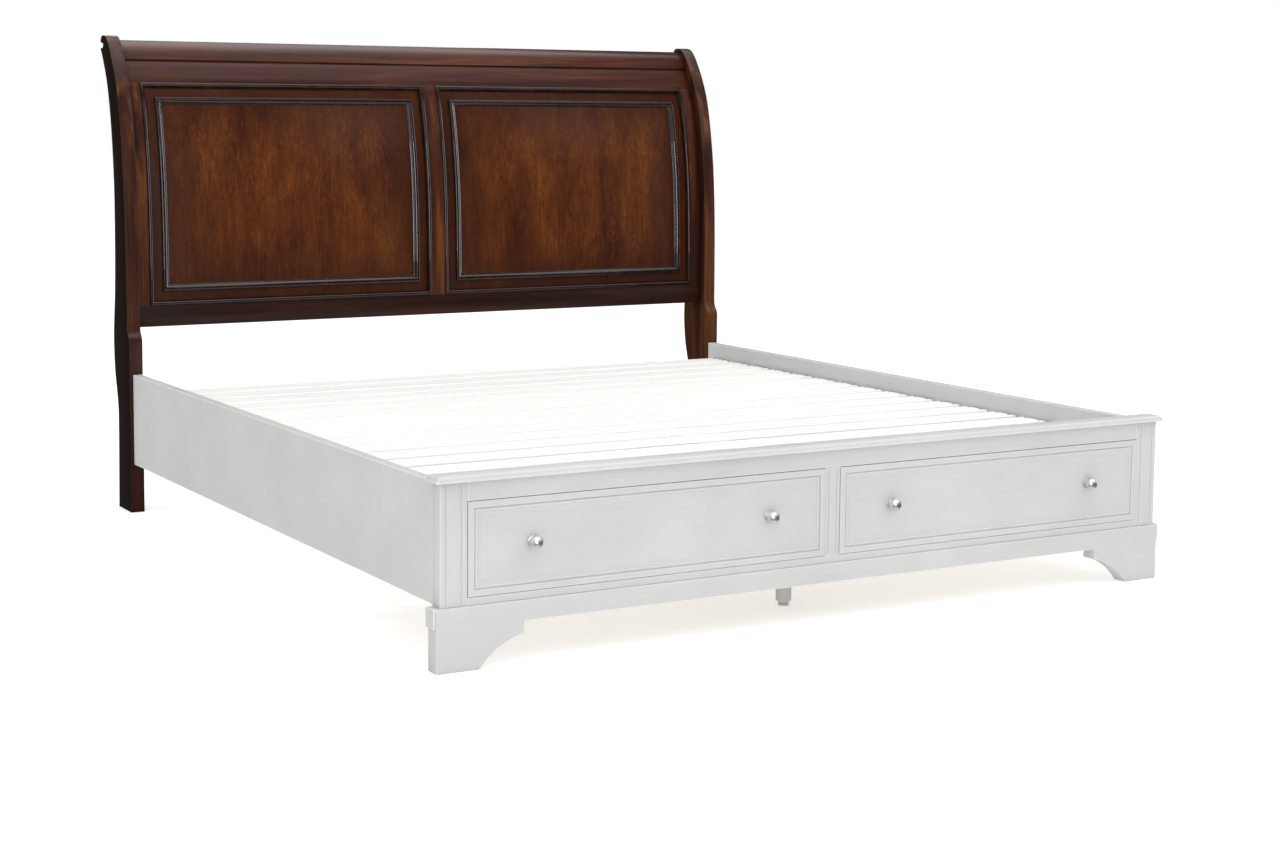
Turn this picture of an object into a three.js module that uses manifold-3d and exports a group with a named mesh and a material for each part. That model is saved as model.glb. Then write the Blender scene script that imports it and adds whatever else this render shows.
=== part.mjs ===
// Sleigh bed, king size: a curved two-panel headboard between scrolled posts, flat side rails,
// a slatted deck on a middle beam, and a low footboard with two drawers over a plinth.
// Millimetres, +Z up, foot end towards -Y. Everything is laid out from the front plane of the
// headboard posts (y = 0) and the floor (z = 0); the last group moves the origin to the middle
// of the footprint.
import * as THREE from 'three';
import * as BufferGeometryUtils from 'three/addons/utils/BufferGeometryUtils.js';
import Module from 'manifold-3d';

const wasm = await Module();
wasm.setup();

// Driving dimensions.
const BED_WIDTH = 2040;
const BED_LENGTH = 2060; // post front to footboard front
const HEAD_HEIGHT = 1396;
const GAP = 0.3; // clearance between pieces that touch

const POST_WIDTH = 40;
const POST_STEP_Z = 500; // the ogee where the leg turns into the sleigh curve
const POST_INNER = BED_WIDTH / 2 - POST_WIDTH;

// Headboard frame, as heights on its own face.
const FRAME_SET_BACK = 26; // from the front edge of the posts
const FRAME_THICK = 32;
const HEAD_BOTTOM_Z = 541;
const PANEL_BOTTOM_Z = 603;
const PANEL_TOP_Z = 1258;
const SEAM_Z = 1323; // foot of the crest rail
const CREST_PROUD = 5; // crest's lower edge in front of the frame's face
const PANEL_OUTER_X = 940;
const CENTER_STILE_HALF = 23;
const PANEL_DEPTH = 10; // from the frame's face to the panel's
const PANEL_THICK = 12;
const OUTER_BEAD = 14;
const BEAD_SPACING = 41; // outer edge of the outer bead to outer edge of the inner bead
const INNER_BEAD = 21;
const BACK_BOARD_THICK = 6;
const FACET_PITCH = 34;

// Side rails, deck and supports.
const RAIL_OUTER = 1010;
const RAIL_THICK = 26;
const RAIL_BOTTOM_Z = 143;
const RAIL_TOP_Z = 407;
const RAIL_INNER = RAIL_OUTER - RAIL_THICK;
const DECK_Z = 360;
const SLAT_COUNT = 16;
const SLAT_PITCH = 119.3;
const SLAT_WIDTH = 92;
const SLAT_THICK = 18;
const FIRST_SLAT_Y = -88;
const CLEAT = 26;
const BEAM_WIDTH = 60;
const BEAM_HEIGHT = 41;
const LEG_RADIUS = 19;

// Footboard.
const FOOT_FACE_Y = -BED_LENGTH;
const FOOT_THICK = 38;
const FOOT_BACK_Y = FOOT_FACE_Y + FOOT_THICK;
const CAP_THICK = 14;
const CAP_OVERHANG = 13;
const CAP_BACK_OVERHANG = 6;
const PLINTH_TOP_Z = 140;
const PLINTH_PROUD = 4;
const PLINTH_HALF = 1020;
const APRON_Z = 94; // underside of the apron between the bracket feet
const APRON_HALF = 811;
const BRACKET_STEP_Z = 68;
const BRACKET_FOOT_HALF = 919;
const CORNER_BLOCK_OUT = 6;
const DRAWER_BOTTOM_Z = 157;
const DRAWER_TOP_Z = 364;
const DRAWER_INNER_X = 20;
const DRAWER_OUTER_X = 946;

// Drawers.
const DRAWER_GAP = 2;
const DRAWER_PROUD = 2;
const DRAWER_FRONT_THICK = 20;
const DRAWER_FIELD_DEPTH = 7; // flat field inside the drawer front's moulding
const BOX_INSET = 28; // drawer opening to the outside of the box, each side
const BOX_BOTTOM_Z = 172;
const BOX_TOP_Z = 294;
const BOX_LENGTH = 420;
const BOX_SIDE = 13;
const BOX_FLOOR = 8;
const KNOB_X = [174, 786];
const KNOB_Z = 264;
const KNOB_LENGTH = 31;
const GUIDE_BOTTOM_Z = 160;
const GUIDE_BACK_Y = FOOT_FACE_Y + 480;

const HEAD_BACK_Y = 237; // back of the scroll
const DRAWER_FACE_Y = FOOT_FACE_Y - DRAWER_PROUD;
const KNOB_SEAT_Y = DRAWER_FACE_Y + DRAWER_FIELD_DEPTH - GAP;

// Front edge of the posts above the ogee, as (y, z). The headboard face follows it.
const faceCurve = new THREE.SplineCurve([
  new THREE.Vector2(18, 548),
  new THREE.Vector2(19, 640),
  new THREE.Vector2(21, 770),
  new THREE.Vector2(26, 890),
  new THREE.Vector2(37, 1010),
  new THREE.Vector2(56, 1125),
  new THREE.Vector2(80, 1222),
  new THREE.Vector2(112, 1294),
  new THREE.Vector2(148, 1352),
  new THREE.Vector2(168, 1377),
]);
const faceSamples = faceCurve.getPoints(240);

// Place and slope of the curve at height z. Below its first point it goes straight down.
function curveAt(z) {
  const last = faceSamples.length - 1;
  let i = 1;
  while (i < last && faceSamples[i].y < z) {
    i += 1;
  }
  const a = faceSamples[i - 1];
  const b = faceSamples[i];
  const along = Math.max(0, (z - a.y) / (b.y - a.y));
  const tangent = new THREE.Vector2().subVectors(b, a).normalize();
  return { y: a.x + (b.x - a.x) * along, tangent };
}

// Point at height z on the headboard's face, moved straight back into the wood by depth.
function facePoint(z, depth) {
  let zCurve = z;
  for (let pass = 0; pass < 8; pass += 1) {
    zCurve = z + FRAME_SET_BACK * curveAt(zCurve).tangent.x;
  }
  const { y, tangent } = curveAt(zCurve);
  const back = FRAME_SET_BACK + depth;
  return new THREE.Vector2(y + tangent.y * back, zCurve - tangent.x * back);
}

// Closed outline in the (y, z) plane, carried along X from x0 to x1.
function extrudeAlongX(outline, x0, x1) {
  const geometry = new THREE.ExtrudeGeometry(new THREE.Shape(outline), {
    depth: x1 - x0,
    bevelEnabled: false,
  });
  const basis = new THREE.Matrix4().makeBasis(
    new THREE.Vector3(0, 1, 0),
    new THREE.Vector3(0, 0, 1),
    new THREE.Vector3(1, 0, 0),
  );
  geometry.applyMatrix4(basis);
  return geometry.translate(x0, 0, 0);
}

// Closed outline in the (x, z) plane, carried along Y from y0 (front) to y1 (back).
function extrudeAlongY(shape, y0, y1, curveSegments = 10) {
  const geometry = new THREE.ExtrudeGeometry(shape, {
    depth: y1 - y0,
    bevelEnabled: false,
    curveSegments,
  });
  return geometry.rotateX(Math.PI / 2).translate(0, y1, 0);
}

function block(x0, x1, y0, y1, z0, z1) {
  const geometry = new THREE.BoxGeometry(x1 - x0, y1 - y0, z1 - z0);
  return geometry.translate((x0 + x1) / 2, (y0 + y1) / 2, (z0 + z1) / 2);
}

// Heights at which every curved piece is faceted, so that neighbours keep an even gap.
function faceStations(z0, z1, clear) {
  const stations = [];
  for (let z = HEAD_BOTTOM_Z; z < SEAM_Z; z += FACET_PITCH) {
    if (z > z0 + clear && z < z1 - clear) {
      stations.push(z);
    }
  }
  return stations;
}

// Board that follows the headboard's curve, between two heights and two depths.
function curvedBoard(x0, x1, z0, z1, depth0, depth1) {
  const heights = [z0, ...faceStations(z0, z1, 1), z1];
  const front = heights.map((z) => facePoint(z, depth0));
  const back = heights.map((z) => facePoint(z, depth1)).reverse();
  return extrudeAlongX([...back, ...front], x0, x1);
}

// Geometry from loops of points: each loop is joined to the next, and the last to the first.
function loftLoops(loops) {
  const positions = loops.flat().flatMap((p) => [p.x, p.y, p.z]);
  const count = loops[0].length;
  const index = [];
  for (let s = 0; s < loops.length; s += 1) {
    const next = (s + 1) % loops.length;
    for (let i = 0; i < count; i += 1) {
      const j = (i + 1) % count;
      const a = s * count + i;
      const b = s * count + j;
      const c = next * count + j;
      const d = next * count + i;
      index.push(a, b, c, a, c, d);
    }
  }
  const geometry = new THREE.BufferGeometry();
  geometry.setAttribute('position', new THREE.Float32BufferAttribute(positions, 3));
  geometry.setIndex(index);
  return geometry;
}

// Mitred moulding round a rectangle on the curved face. The section is a list of
// [inset from the rectangle, depth].
function curvedMoulding(x0, x1, z0, z1, section) {
  const width = Math.max(...section.map(([inset]) => inset));
  const bottom = (inset) => z0 + inset;
  const top = (inset) => z1 - inset;
  const heights = [bottom, ...faceStations(z0, z1, width + 2).map((z) => () => z), top];
  const up = heights.map((height) => [1, height]);
  const down = heights.map((height) => [-1, height]).reverse();
  const loops = [...up, ...down].map(([side, height]) => section.map(([inset, depth]) => {
    const x = side > 0 ? x1 - inset : x0 + inset;
    const p = facePoint(height(inset), depth);
    return new THREE.Vector3(x, p.x, p.y);
  }));
  return loftLoops(loops);
}

// Flat board with mitred steps cut into its front. Each ring is [inset, distance behind front].
function steppedBoard(x0, x1, z0, z1, frontY, thick, rings) {
  const corners = (inset, y) => [
    [x0 + inset, y, z0 + inset],
    [x1 - inset, y, z0 + inset],
    [x1 - inset, y, z1 - inset],
    [x0 + inset, y, z1 - inset],
  ];
  const levels = [[0, thick], [0, rings[0][1]], ...rings];
  const positions = levels.flatMap(([inset, back]) => corners(inset, frontY + back)).flat();
  const index = [];
  for (let level = 0; level < levels.length - 1; level += 1) {
    for (let i = 0; i < 4; i += 1) {
      const a = level * 4 + i;
      const b = level * 4 + ((i + 1) % 4);
      index.push(a, b, b + 4, a, b + 4, a + 4);
    }
  }
  const last = (levels.length - 1) * 4;
  index.push(last, last + 1, last + 2, last, last + 2, last + 3);
  index.push(0, 2, 1, 0, 3, 2);
  const geometry = new THREE.BufferGeometry();
  geometry.setAttribute('position', new THREE.Float32BufferAttribute(positions, 3));
  geometry.setIndex(index);
  return geometry;
}

function toManifold(geometry) {
  const bare = geometry.clone();
  bare.deleteAttribute('normal');
  bare.deleteAttribute('uv');
  const merged = BufferGeometryUtils.mergeVertices(bare, 1e-4);
  return new wasm.Manifold(new wasm.Mesh({
    numProp: 3,
    vertProperties: new Float32Array(merged.attributes.position.array),
    triVerts: new Uint32Array(merged.index.array),
  }));
}

function fromManifold(solid) {
  const mesh = solid.getMesh();
  const geometry = new THREE.BufferGeometry();
  geometry.setAttribute('position', new THREE.BufferAttribute(mesh.vertProperties, 3));
  geometry.setIndex(new THREE.BufferAttribute(mesh.triVerts, 1));
  return geometry;
}

// Headboard post seen from the side: tapered leg, ogee, sleigh curve, and a rolled top with the
// slit that marks the end of the scroll. Points are (y, z).
function postOutline() {
  const shape = new THREE.Shape();
  shape.moveTo(0, 0);
  shape.lineTo(0, POST_STEP_Z);
  shape.bezierCurveTo(0, POST_STEP_Z + 24, 17, POST_STEP_Z + 18, 18, 548);
  shape.splineThru(faceCurve.points.slice(1));
  shape.splineThru([
    new THREE.Vector2(185, 1390),
    new THREE.Vector2(208, HEAD_HEIGHT),
    new THREE.Vector2(228, 1392),
    new THREE.Vector2(HEAD_BACK_Y, 1376),
  ]);
  shape.lineTo(219, 1373);
  shape.bezierCurveTo(209, 1372, 209, 1361, 219, 1360);
  shape.lineTo(HEAD_BACK_Y, 1357);
  shape.splineThru([
    new THREE.Vector2(213, 1322),
    new THREE.Vector2(174, 1244),
    new THREE.Vector2(143, 1118),
    new THREE.Vector2(125, 960),
    new THREE.Vector2(124, 780),
    new THREE.Vector2(131, 640),
    new THREE.Vector2(147, 510),
    new THREE.Vector2(139, 405),
    new THREE.Vector2(116, 318),
    new THREE.Vector2(111, 240),
    new THREE.Vector2(118, 0),
  ]);
  return shape.getPoints(7);
}

// Crest rail: a roll that follows the posts' top, a little inside them.
function crestOutline() {
  const start = facePoint(SEAM_Z, -CREST_PROUD);
  const end = facePoint(SEAM_Z, FRAME_THICK + BACK_BOARD_THICK);
  const shape = new THREE.Shape();
  shape.moveTo(start.x, start.y);
  shape.splineThru([
    new THREE.Vector2(172, 1363),
    new THREE.Vector2(193, 1379),
    new THREE.Vector2(211, 1383),
    new THREE.Vector2(226, 1377),
    new THREE.Vector2(229, 1362),
    new THREE.Vector2(214, 1338),
    end,
  ]);
  return shape.getPoints(5);
}

// Apron and bracket feet in one board, as (x, z).
function plinthShape() {
  const shape = new THREE.Shape();
  shape.moveTo(-PLINTH_HALF, 0);
  shape.lineTo(-BRACKET_FOOT_HALF, 0);
  shape.quadraticCurveTo(-880, 52, -APRON_HALF, BRACKET_STEP_Z);
  shape.lineTo(-APRON_HALF, APRON_Z);
  shape.lineTo(APRON_HALF, APRON_Z);
  shape.lineTo(APRON_HALF, BRACKET_STEP_Z);
  shape.quadraticCurveTo(880, 52, BRACKET_FOOT_HALF, 0);
  shape.lineTo(PLINTH_HALF, 0);
  shape.lineTo(PLINTH_HALF, PLINTH_TOP_Z);
  shape.lineTo(-PLINTH_HALF, PLINTH_TOP_Z);
  return shape;
}

// Ball knob on a flared base, turned about its own axis with the base at 0.
function knobGeometry() {
  const shape = new THREE.Path();
  const ballRadius = 14.5;
  const ballCenter = KNOB_LENGTH - ballRadius;
  shape.moveTo(0, 0);
  shape.lineTo(13, 0);
  shape.lineTo(13, 2);
  shape.quadraticCurveTo(7, 3, 6.5, 7);
  const points = shape.getPoints(4);
  const neckAngle = Math.acos(6.5 / ballRadius);
  const arcSteps = 10;
  for (let i = 0; i <= arcSteps; i += 1) {
    const angle = -neckAngle + (Math.PI / 2 + neckAngle) * (i / arcSteps);
    const radius = i === arcSteps ? 0 : ballRadius * Math.cos(angle);
    points.push(new THREE.Vector2(radius, ballCenter + ballRadius * Math.sin(angle)));
  }
  return new THREE.LatheGeometry(points, 20);
}

// Inner guide between the drawers: a board on edge with a ledge at each side.
function centerGuideShape() {
  const shape = new THREE.Shape();
  const ledge = 62;
  const web = 14;
  const ledgeTop = BOX_BOTTOM_Z - 0.5;
  shape.moveTo(-ledge, GUIDE_BOTTOM_Z);
  shape.lineTo(ledge, GUIDE_BOTTOM_Z);
  shape.lineTo(ledge, ledgeTop);
  shape.lineTo(web, ledgeTop);
  shape.lineTo(web, 300);
  shape.lineTo(-web, 300);
  shape.lineTo(-web, ledgeTop);
  shape.lineTo(-ledge, ledgeTop);
  return shape;
}

// Outer guide: an angle of wood against the side rail. side is -1 or 1.
function sideGuideShape(side) {
  const points = [
    [RAIL_INNER - GAP, GUIDE_BOTTOM_Z],
    [RAIL_INNER - GAP, 240],
    [RAIL_INNER - 30, 240],
    [RAIL_INNER - 30, BOX_BOTTOM_Z - 0.5],
    [DRAWER_OUTER_X - BOX_INSET - 20, BOX_BOTTOM_Z - 0.5],
    [DRAWER_OUTER_X - BOX_INSET - 20, GUIDE_BOTTOM_Z],
  ];
  return new THREE.Shape(points.map(([x, z]) => new THREE.Vector2(side * x, z)));
}

// Leg under the middle beam: a turned post on a wider glide.
function legGeometry(height) {
  const points = [
    [0, 0],
    [LEG_RADIUS - 6, 0],
    [LEG_RADIUS - 6, 9],
    [LEG_RADIUS, 12],
    [LEG_RADIUS, height],
    [0, height],
  ].map(([r, z]) => new THREE.Vector2(r, z));
  return new THREE.LatheGeometry(points, 24).rotateX(Math.PI / 2);
}

function wood(color, roughness) {
  return new THREE.MeshStandardMaterial({ color, roughness, metalness: 0 });
}

const frameWood = wood('#4b2417', 0.38);
const panelWood = wood('#7a3d1c', 0.36);
const beadWood = wood('#1f1413', 0.25);
const backPly = wood('#5a3a28', 0.7);
const paintedWood = wood('#d6d5d3', 0.5);
const slatWood = wood('#efece6', 0.75);
const boxWood = wood('#d9c9ab', 0.7);
const knobMetal = new THREE.MeshStandardMaterial({
  color: '#c9c7c2',
  roughness: 0.3,
  metalness: 1,
});

function addPart(parent, name, geometry, material) {
  const mesh = new THREE.Mesh(geometry, material);
  mesh.name = name;
  parent.add(mesh);
  return mesh;
}

const SIDES = [['left', -1], ['right', 1]];

function buildPosts(parent) {
  const outline = postOutline();
  for (const [name, side] of SIDES) {
    const x0 = side < 0 ? -BED_WIDTH / 2 : POST_INNER;
    addPart(parent, `post_${name}`, extrudeAlongX(outline, x0, x0 + POST_WIDTH), frameWood);
  }
}

function buildHeadFrame(parent) {
  const half = POST_INNER - GAP;
  const rail = (z0, z1) => curvedBoard(-half, half, z0, z1, 0, FRAME_THICK);
  addPart(parent, 'crest_rail', extrudeAlongX(crestOutline(), -half, half), frameWood);
  addPart(parent, 'upper_rail', rail(PANEL_TOP_Z + GAP, SEAM_Z - GAP), frameWood);
  addPart(parent, 'lower_rail', rail(HEAD_BOTTOM_Z, PANEL_BOTTOM_Z - GAP), frameWood);
  const stile = (x0, x1) => curvedBoard(x0, x1, PANEL_BOTTOM_Z, PANEL_TOP_Z, 0, FRAME_THICK);
  addPart(parent, 'stile_left', stile(-half, -PANEL_OUTER_X), frameWood);
  addPart(parent, 'stile_right', stile(PANEL_OUTER_X, half), frameWood);
  addPart(parent, 'stile_center', stile(-CENTER_STILE_HALF, CENTER_STILE_HALF), frameWood);
  const backDepth = FRAME_THICK + GAP;
  const backBoard = curvedBoard(
    -half,
    half,
    HEAD_BOTTOM_Z,
    SEAM_Z - 1,
    backDepth,
    backDepth + BACK_BOARD_THICK,
  );
  addPart(parent, 'back_board', backBoard, backPly);
}

function buildHeadPanel(parent, name, side) {
  const edges = [side * CENTER_STILE_HALF, side * PANEL_OUTER_X].sort((a, b) => a - b);
  const x0 = edges[0] + GAP;
  const x1 = edges[1] - GAP;
  const z0 = PANEL_BOTTOM_Z + GAP;
  const z1 = PANEL_TOP_Z - GAP;
  const panelBack = PANEL_DEPTH + PANEL_THICK;
  const panel = curvedBoard(x0, x1, z0, z1, PANEL_DEPTH, panelBack);
  addPart(parent, `panel_${name}`, panel, panelWood);

  const bed = PANEL_DEPTH - GAP;
  const outerSection = [
    [0, bed],
    [OUTER_BEAD, bed],
    [OUTER_BEAD - 1, 3],
    [OUTER_BEAD * 0.7, -2],
    [OUTER_BEAD * 0.35, -4],
    [0, -1],
  ];
  const outer = curvedMoulding(x0, x1, z0, z1, outerSection);
  addPart(parent, `outer_bead_${name}`, outer, beadWood);

  const innerSection = [
    [0, bed],
    [INNER_BEAD, bed],
    [INNER_BEAD - 2, 6],
    [INNER_BEAD * 0.62, 1],
    [INNER_BEAD * 0.3, -1],
    [0, 3],
  ];
  const inner = curvedMoulding(
    x0 + BEAD_SPACING,
    x1 - BEAD_SPACING,
    z0 + BEAD_SPACING,
    z1 - BEAD_SPACING,
    innerSection,
  );
  addPart(parent, `inner_bead_${name}`, inner, beadWood);
}

function buildSideRails(parent) {
  for (const [name, side] of SIDES) {
    const [x0, x1] = [side * RAIL_INNER, side * RAIL_OUTER].sort((a, b) => a - b);
    const rail = block(x0, x1, FOOT_BACK_Y + GAP, -GAP, RAIL_BOTTOM_Z, RAIL_TOP_Z);
    addPart(parent, `side_rail_${name}`, rail, paintedWood);
    const cleatX = [side * (RAIL_INNER - GAP - CLEAT), side * (RAIL_INNER - GAP)];
    cleatX.sort((a, b) => a - b);
    const cleatTop = DECK_Z - SLAT_THICK - GAP;
    const cleat = block(cleatX[0], cleatX[1], FOOT_BACK_Y + 10, -10, cleatTop - CLEAT, cleatTop);
    addPart(parent, `slat_cleat_${name}`, cleat, slatWood);
  }
}

function buildDeck(parent) {
  const slatEnd = RAIL_INNER - 6;
  for (let i = 0; i < SLAT_COUNT; i += 1) {
    const y = FIRST_SLAT_Y - i * SLAT_PITCH;
    const slat = block(
      -slatEnd,
      slatEnd,
      y - SLAT_WIDTH / 2,
      y + SLAT_WIDTH / 2,
      DECK_Z - SLAT_THICK,
      DECK_Z,
    );
    addPart(parent, `slat_${String(i + 1).padStart(2, '0')}`, slat, slatWood);
  }
  const beamTop = DECK_Z - SLAT_THICK - GAP;
  const beamBottom = beamTop - BEAM_HEIGHT;
  const half = BEAM_WIDTH / 2;
  const beam = block(-half, half, FOOT_BACK_Y + GAP, -30, beamBottom, beamTop);
  addPart(parent, 'center_beam', beam, slatWood);

  const legs = [
    ['leg_head', -150, beamBottom],
    ['leg_middle', -950, beamBottom],
    ['leg_foot', -1868, GUIDE_BOTTOM_Z],
  ];
  for (const [name, y, top] of legs) {
    addPart(parent, name, legGeometry(top - GAP), paintedWood).position.set(0, y, 0);
  }
}

function buildFootFrame(parent) {
  const y0 = FOOT_FACE_Y;
  const y1 = FOOT_BACK_Y;
  const bottom = PLINTH_TOP_Z + GAP;
  const top = RAIL_TOP_Z;
  const stileInner = DRAWER_OUTER_X;
  const piece = (name, x0, x1, z0, z1) => {
    addPart(parent, name, block(x0, x1, y0, y1, z0, z1), paintedWood);
  };
  piece('foot_stile_left', -RAIL_OUTER, -stileInner, bottom, top);
  piece('foot_stile_right', stileInner, RAIL_OUTER, bottom, top);
  const railEnd = stileInner - GAP;
  piece('foot_top_rail', -railEnd, railEnd, DRAWER_TOP_Z, top);
  piece('foot_bottom_rail', -railEnd, railEnd, bottom, DRAWER_BOTTOM_Z);
  const stileZ = [DRAWER_BOTTOM_Z + GAP, DRAWER_TOP_Z - GAP];
  piece('foot_stile_center', -DRAWER_INNER_X, DRAWER_INNER_X, stileZ[0], stileZ[1]);

  // The cap's front and end edges are thumb-moulded: full below, stepped in above.
  const capHalf = RAIL_OUTER + CAP_OVERHANG;
  const capFront = FOOT_FACE_Y - CAP_OVERHANG;
  const capBack = FOOT_BACK_Y + CAP_BACK_OVERHANG;
  const capBottom = top + GAP;
  const moulding = [
    [0, 0],
    [0, 5],
    [4, 9],
    [9, CAP_THICK],
  ];
  const front = moulding.map(([inset, z]) => [capFront + inset, capBottom + z]);
  const outline = [...front, [capBack, capBottom + CAP_THICK], [capBack, capBottom]];
  const cap = extrudeAlongX(
    outline.map(([y, z]) => new THREE.Vector2(y, z)).reverse(),
    -capHalf,
    capHalf,
  );
  addPart(parent, 'foot_cap', cap, paintedWood);
}

function buildPlinth(parent) {
  const y0 = FOOT_FACE_Y - PLINTH_PROUD;
  const plinth = extrudeAlongY(plinthShape(), y0, FOOT_BACK_Y, 8);
  addPart(parent, 'plinth', plinth, paintedWood);
  for (const [name, side] of SIDES) {
    const x = [side * (PLINTH_HALF + GAP), side * (PLINTH_HALF + CORNER_BLOCK_OUT)];
    x.sort((a, b) => a - b);
    const corner = block(x[0], x[1], y0 + 3, FOOT_BACK_Y, APRON_Z + 3, PLINTH_TOP_Z);
    addPart(parent, `plinth_block_${name}`, corner, paintedWood);
  }
}

function buildDrawerGuides(parent) {
  const y0 = GUIDE_BACK_Y;
  const front = FOOT_BACK_Y + GAP;
  const center = extrudeAlongY(centerGuideShape(), front, y0);
  addPart(parent, 'guide_center', center, boxWood);
  for (const [name, side] of SIDES) {
    addPart(parent, `guide_${name}`, extrudeAlongY(sideGuideShape(side), front, y0), boxWood);
  }
  const half = RAIL_INNER - GAP;
  const backRail = block(-half, half, y0 + GAP, y0 + 18, GUIDE_BOTTOM_Z, 298);
  addPart(parent, 'guide_back_rail', backRail, boxWood);
}

function drawerBoxGeometry(x0, x1) {
  const y0 = DRAWER_FACE_Y + DRAWER_FRONT_THICK + GAP;
  const y1 = y0 + BOX_LENGTH;
  const outside = toManifold(block(x0, x1, y0, y1, BOX_BOTTOM_Z, BOX_TOP_Z));
  const inside = toManifold(block(
    x0 + BOX_SIDE,
    x1 - BOX_SIDE,
    y0 + BOX_SIDE,
    y1 - BOX_SIDE,
    BOX_BOTTOM_Z + BOX_FLOOR,
    BOX_TOP_Z + 10,
  ));
  return fromManifold(outside.subtract(inside));
}

function buildDrawer(parent, name, side) {
  const [inner, outer] = [side * DRAWER_INNER_X, side * DRAWER_OUTER_X];
  const x0 = Math.min(inner, outer);
  const x1 = Math.max(inner, outer);
  const front = steppedBoard(
    x0 + DRAWER_GAP,
    x1 - DRAWER_GAP,
    DRAWER_BOTTOM_Z + DRAWER_GAP,
    DRAWER_TOP_Z - DRAWER_GAP,
    DRAWER_FACE_Y,
    DRAWER_FRONT_THICK,
    [[14, 0], [18, 3], [25, 2], [33, DRAWER_FIELD_DEPTH]],
  );
  addPart(parent, `drawer_front_${name}`, front, paintedWood);
  const box = drawerBoxGeometry(x0 + BOX_INSET, x1 - BOX_INSET);
  addPart(parent, `drawer_box_${name}`, box, boxWood);
  KNOB_X.forEach((x, i) => {
    const knob = addPart(parent, `knob_${name}_${i + 1}`, knobGeometry(), knobMetal);
    knob.rotation.x = Math.PI;
    knob.position.set(side * x, KNOB_SEAT_Y, KNOB_Z);
  });
}

const bed = new THREE.Group();
bed.name = 'sleigh_bed';
bed.position.y = -(HEAD_BACK_Y + KNOB_SEAT_Y - KNOB_LENGTH) / 2;
buildPosts(bed);
buildHeadFrame(bed);
buildHeadPanel(bed, 'left', -1);
buildHeadPanel(bed, 'right', 1);
buildSideRails(bed);
buildDeck(bed);
buildFootFrame(bed);
buildPlinth(bed);
buildDrawerGuides(bed);
buildDrawer(bed, 'left', -1);
buildDrawer(bed, 'right', 1);

export default bed;
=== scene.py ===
# %% [markdown]
# A sleigh bed, built piece by piece
#
# The bed has a tall headboard that leans back and rolls over at its top like a sleigh, flat side
# rails, a slatted deck, and a low footboard with two drawers. The headboard is dark cherry under a
# satin lacquer, with two figured panels framed by near-black beads. Below it the bed is pale: grey
# satin paint on the rails, the footboard and the drawer fronts, and slats under a white wash. The
# measured frame is loaded first, and every piece here is placed from it.

# %% Load the frame
import math

import bmesh
import bpy
import numpy as np
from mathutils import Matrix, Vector


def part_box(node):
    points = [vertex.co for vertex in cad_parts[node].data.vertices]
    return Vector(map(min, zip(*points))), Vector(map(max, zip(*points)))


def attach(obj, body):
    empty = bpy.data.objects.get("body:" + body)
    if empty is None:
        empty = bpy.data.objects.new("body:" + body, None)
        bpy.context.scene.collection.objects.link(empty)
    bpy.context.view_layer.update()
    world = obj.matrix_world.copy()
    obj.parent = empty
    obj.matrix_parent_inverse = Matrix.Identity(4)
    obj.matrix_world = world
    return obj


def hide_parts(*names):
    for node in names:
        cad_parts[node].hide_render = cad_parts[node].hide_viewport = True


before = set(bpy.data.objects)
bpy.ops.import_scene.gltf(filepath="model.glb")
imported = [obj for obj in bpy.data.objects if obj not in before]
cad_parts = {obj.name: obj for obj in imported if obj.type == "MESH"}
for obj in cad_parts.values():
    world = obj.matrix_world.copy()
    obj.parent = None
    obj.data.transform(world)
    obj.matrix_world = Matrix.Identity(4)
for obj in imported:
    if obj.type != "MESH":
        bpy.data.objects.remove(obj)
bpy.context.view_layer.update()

MM = 0.001
HEAD_FRONT_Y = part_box("post_left")[0].y

# %% [markdown]
# The camera
#
# A bed is usually pictured from beyond one foot corner, a little above the deck, with a longish
# lens so that its length isn't stretched. The camera here looks 29 degrees off the bed's length
# and 6 degrees down. The lens is moved sideways in its mount by a few percent, as a view camera
# allows, which frames the bed without turning the camera.

# %% Place the camera
CAMERA_PLACE = (-2.934, -5.127, 1.184)
LOOK_DOWN, ROLL, TURN = 5.69, -0.37, -29.34
LENS_MM, FILM_MM = 60.36, 36
LENS_SHIFT = (0.05, -0.08)
bpy.ops.object.select_all(action="DESELECT")
bpy.ops.object.camera_add(
    location=CAMERA_PLACE,
    rotation=(math.radians(90 - LOOK_DOWN), math.radians(ROLL), math.radians(TURN)),
)
camera = bpy.context.object
camera.data.lens = LENS_MM
camera.data.sensor_width = FILM_MM
camera.data.shift_x, camera.data.shift_y = LENS_SHIFT
camera.data.clip_end = 200
bpy.context.scene.camera = camera
print("camera", [round(v, 3) for v in camera.location], "lens", round(camera.data.lens, 1))

# %% [markdown]
# Colours and nodes
#
# Paint charts and furniture finishes are given as hex colours, which are stored for the eye, while
# a renderer adds light in linear steps. One function turns the one into the other. A second one
# adds a shader node with its settings and its links, so that each recipe below reads as a list.

# %% Helpers for materials
def colour(code):
    """Linear colour of an sRGB hex code."""
    parts = [int(code[i:i + 2], 16) / 255 for i in (1, 3, 5)]
    linear = [p / 12.92 if p <= 0.04045 else ((p + 0.055) / 1.055) ** 2.4 for p in parts]
    return (*linear, 1.0)


def add_node(tree, kind, settings=None, values=None, links=None):
    """Adds a node, sets its own settings and input values, and links its inputs to outputs."""
    node = tree.nodes.new(kind)
    for key, value in (settings or {}).items():
        setattr(node, key, value)
    for key, value in (values or {}).items():
        node.inputs[key].default_value = value
    for key, (source, output) in (links or {}).items():
        tree.links.new(source.outputs[output], node.inputs[key])
    return node


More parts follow.
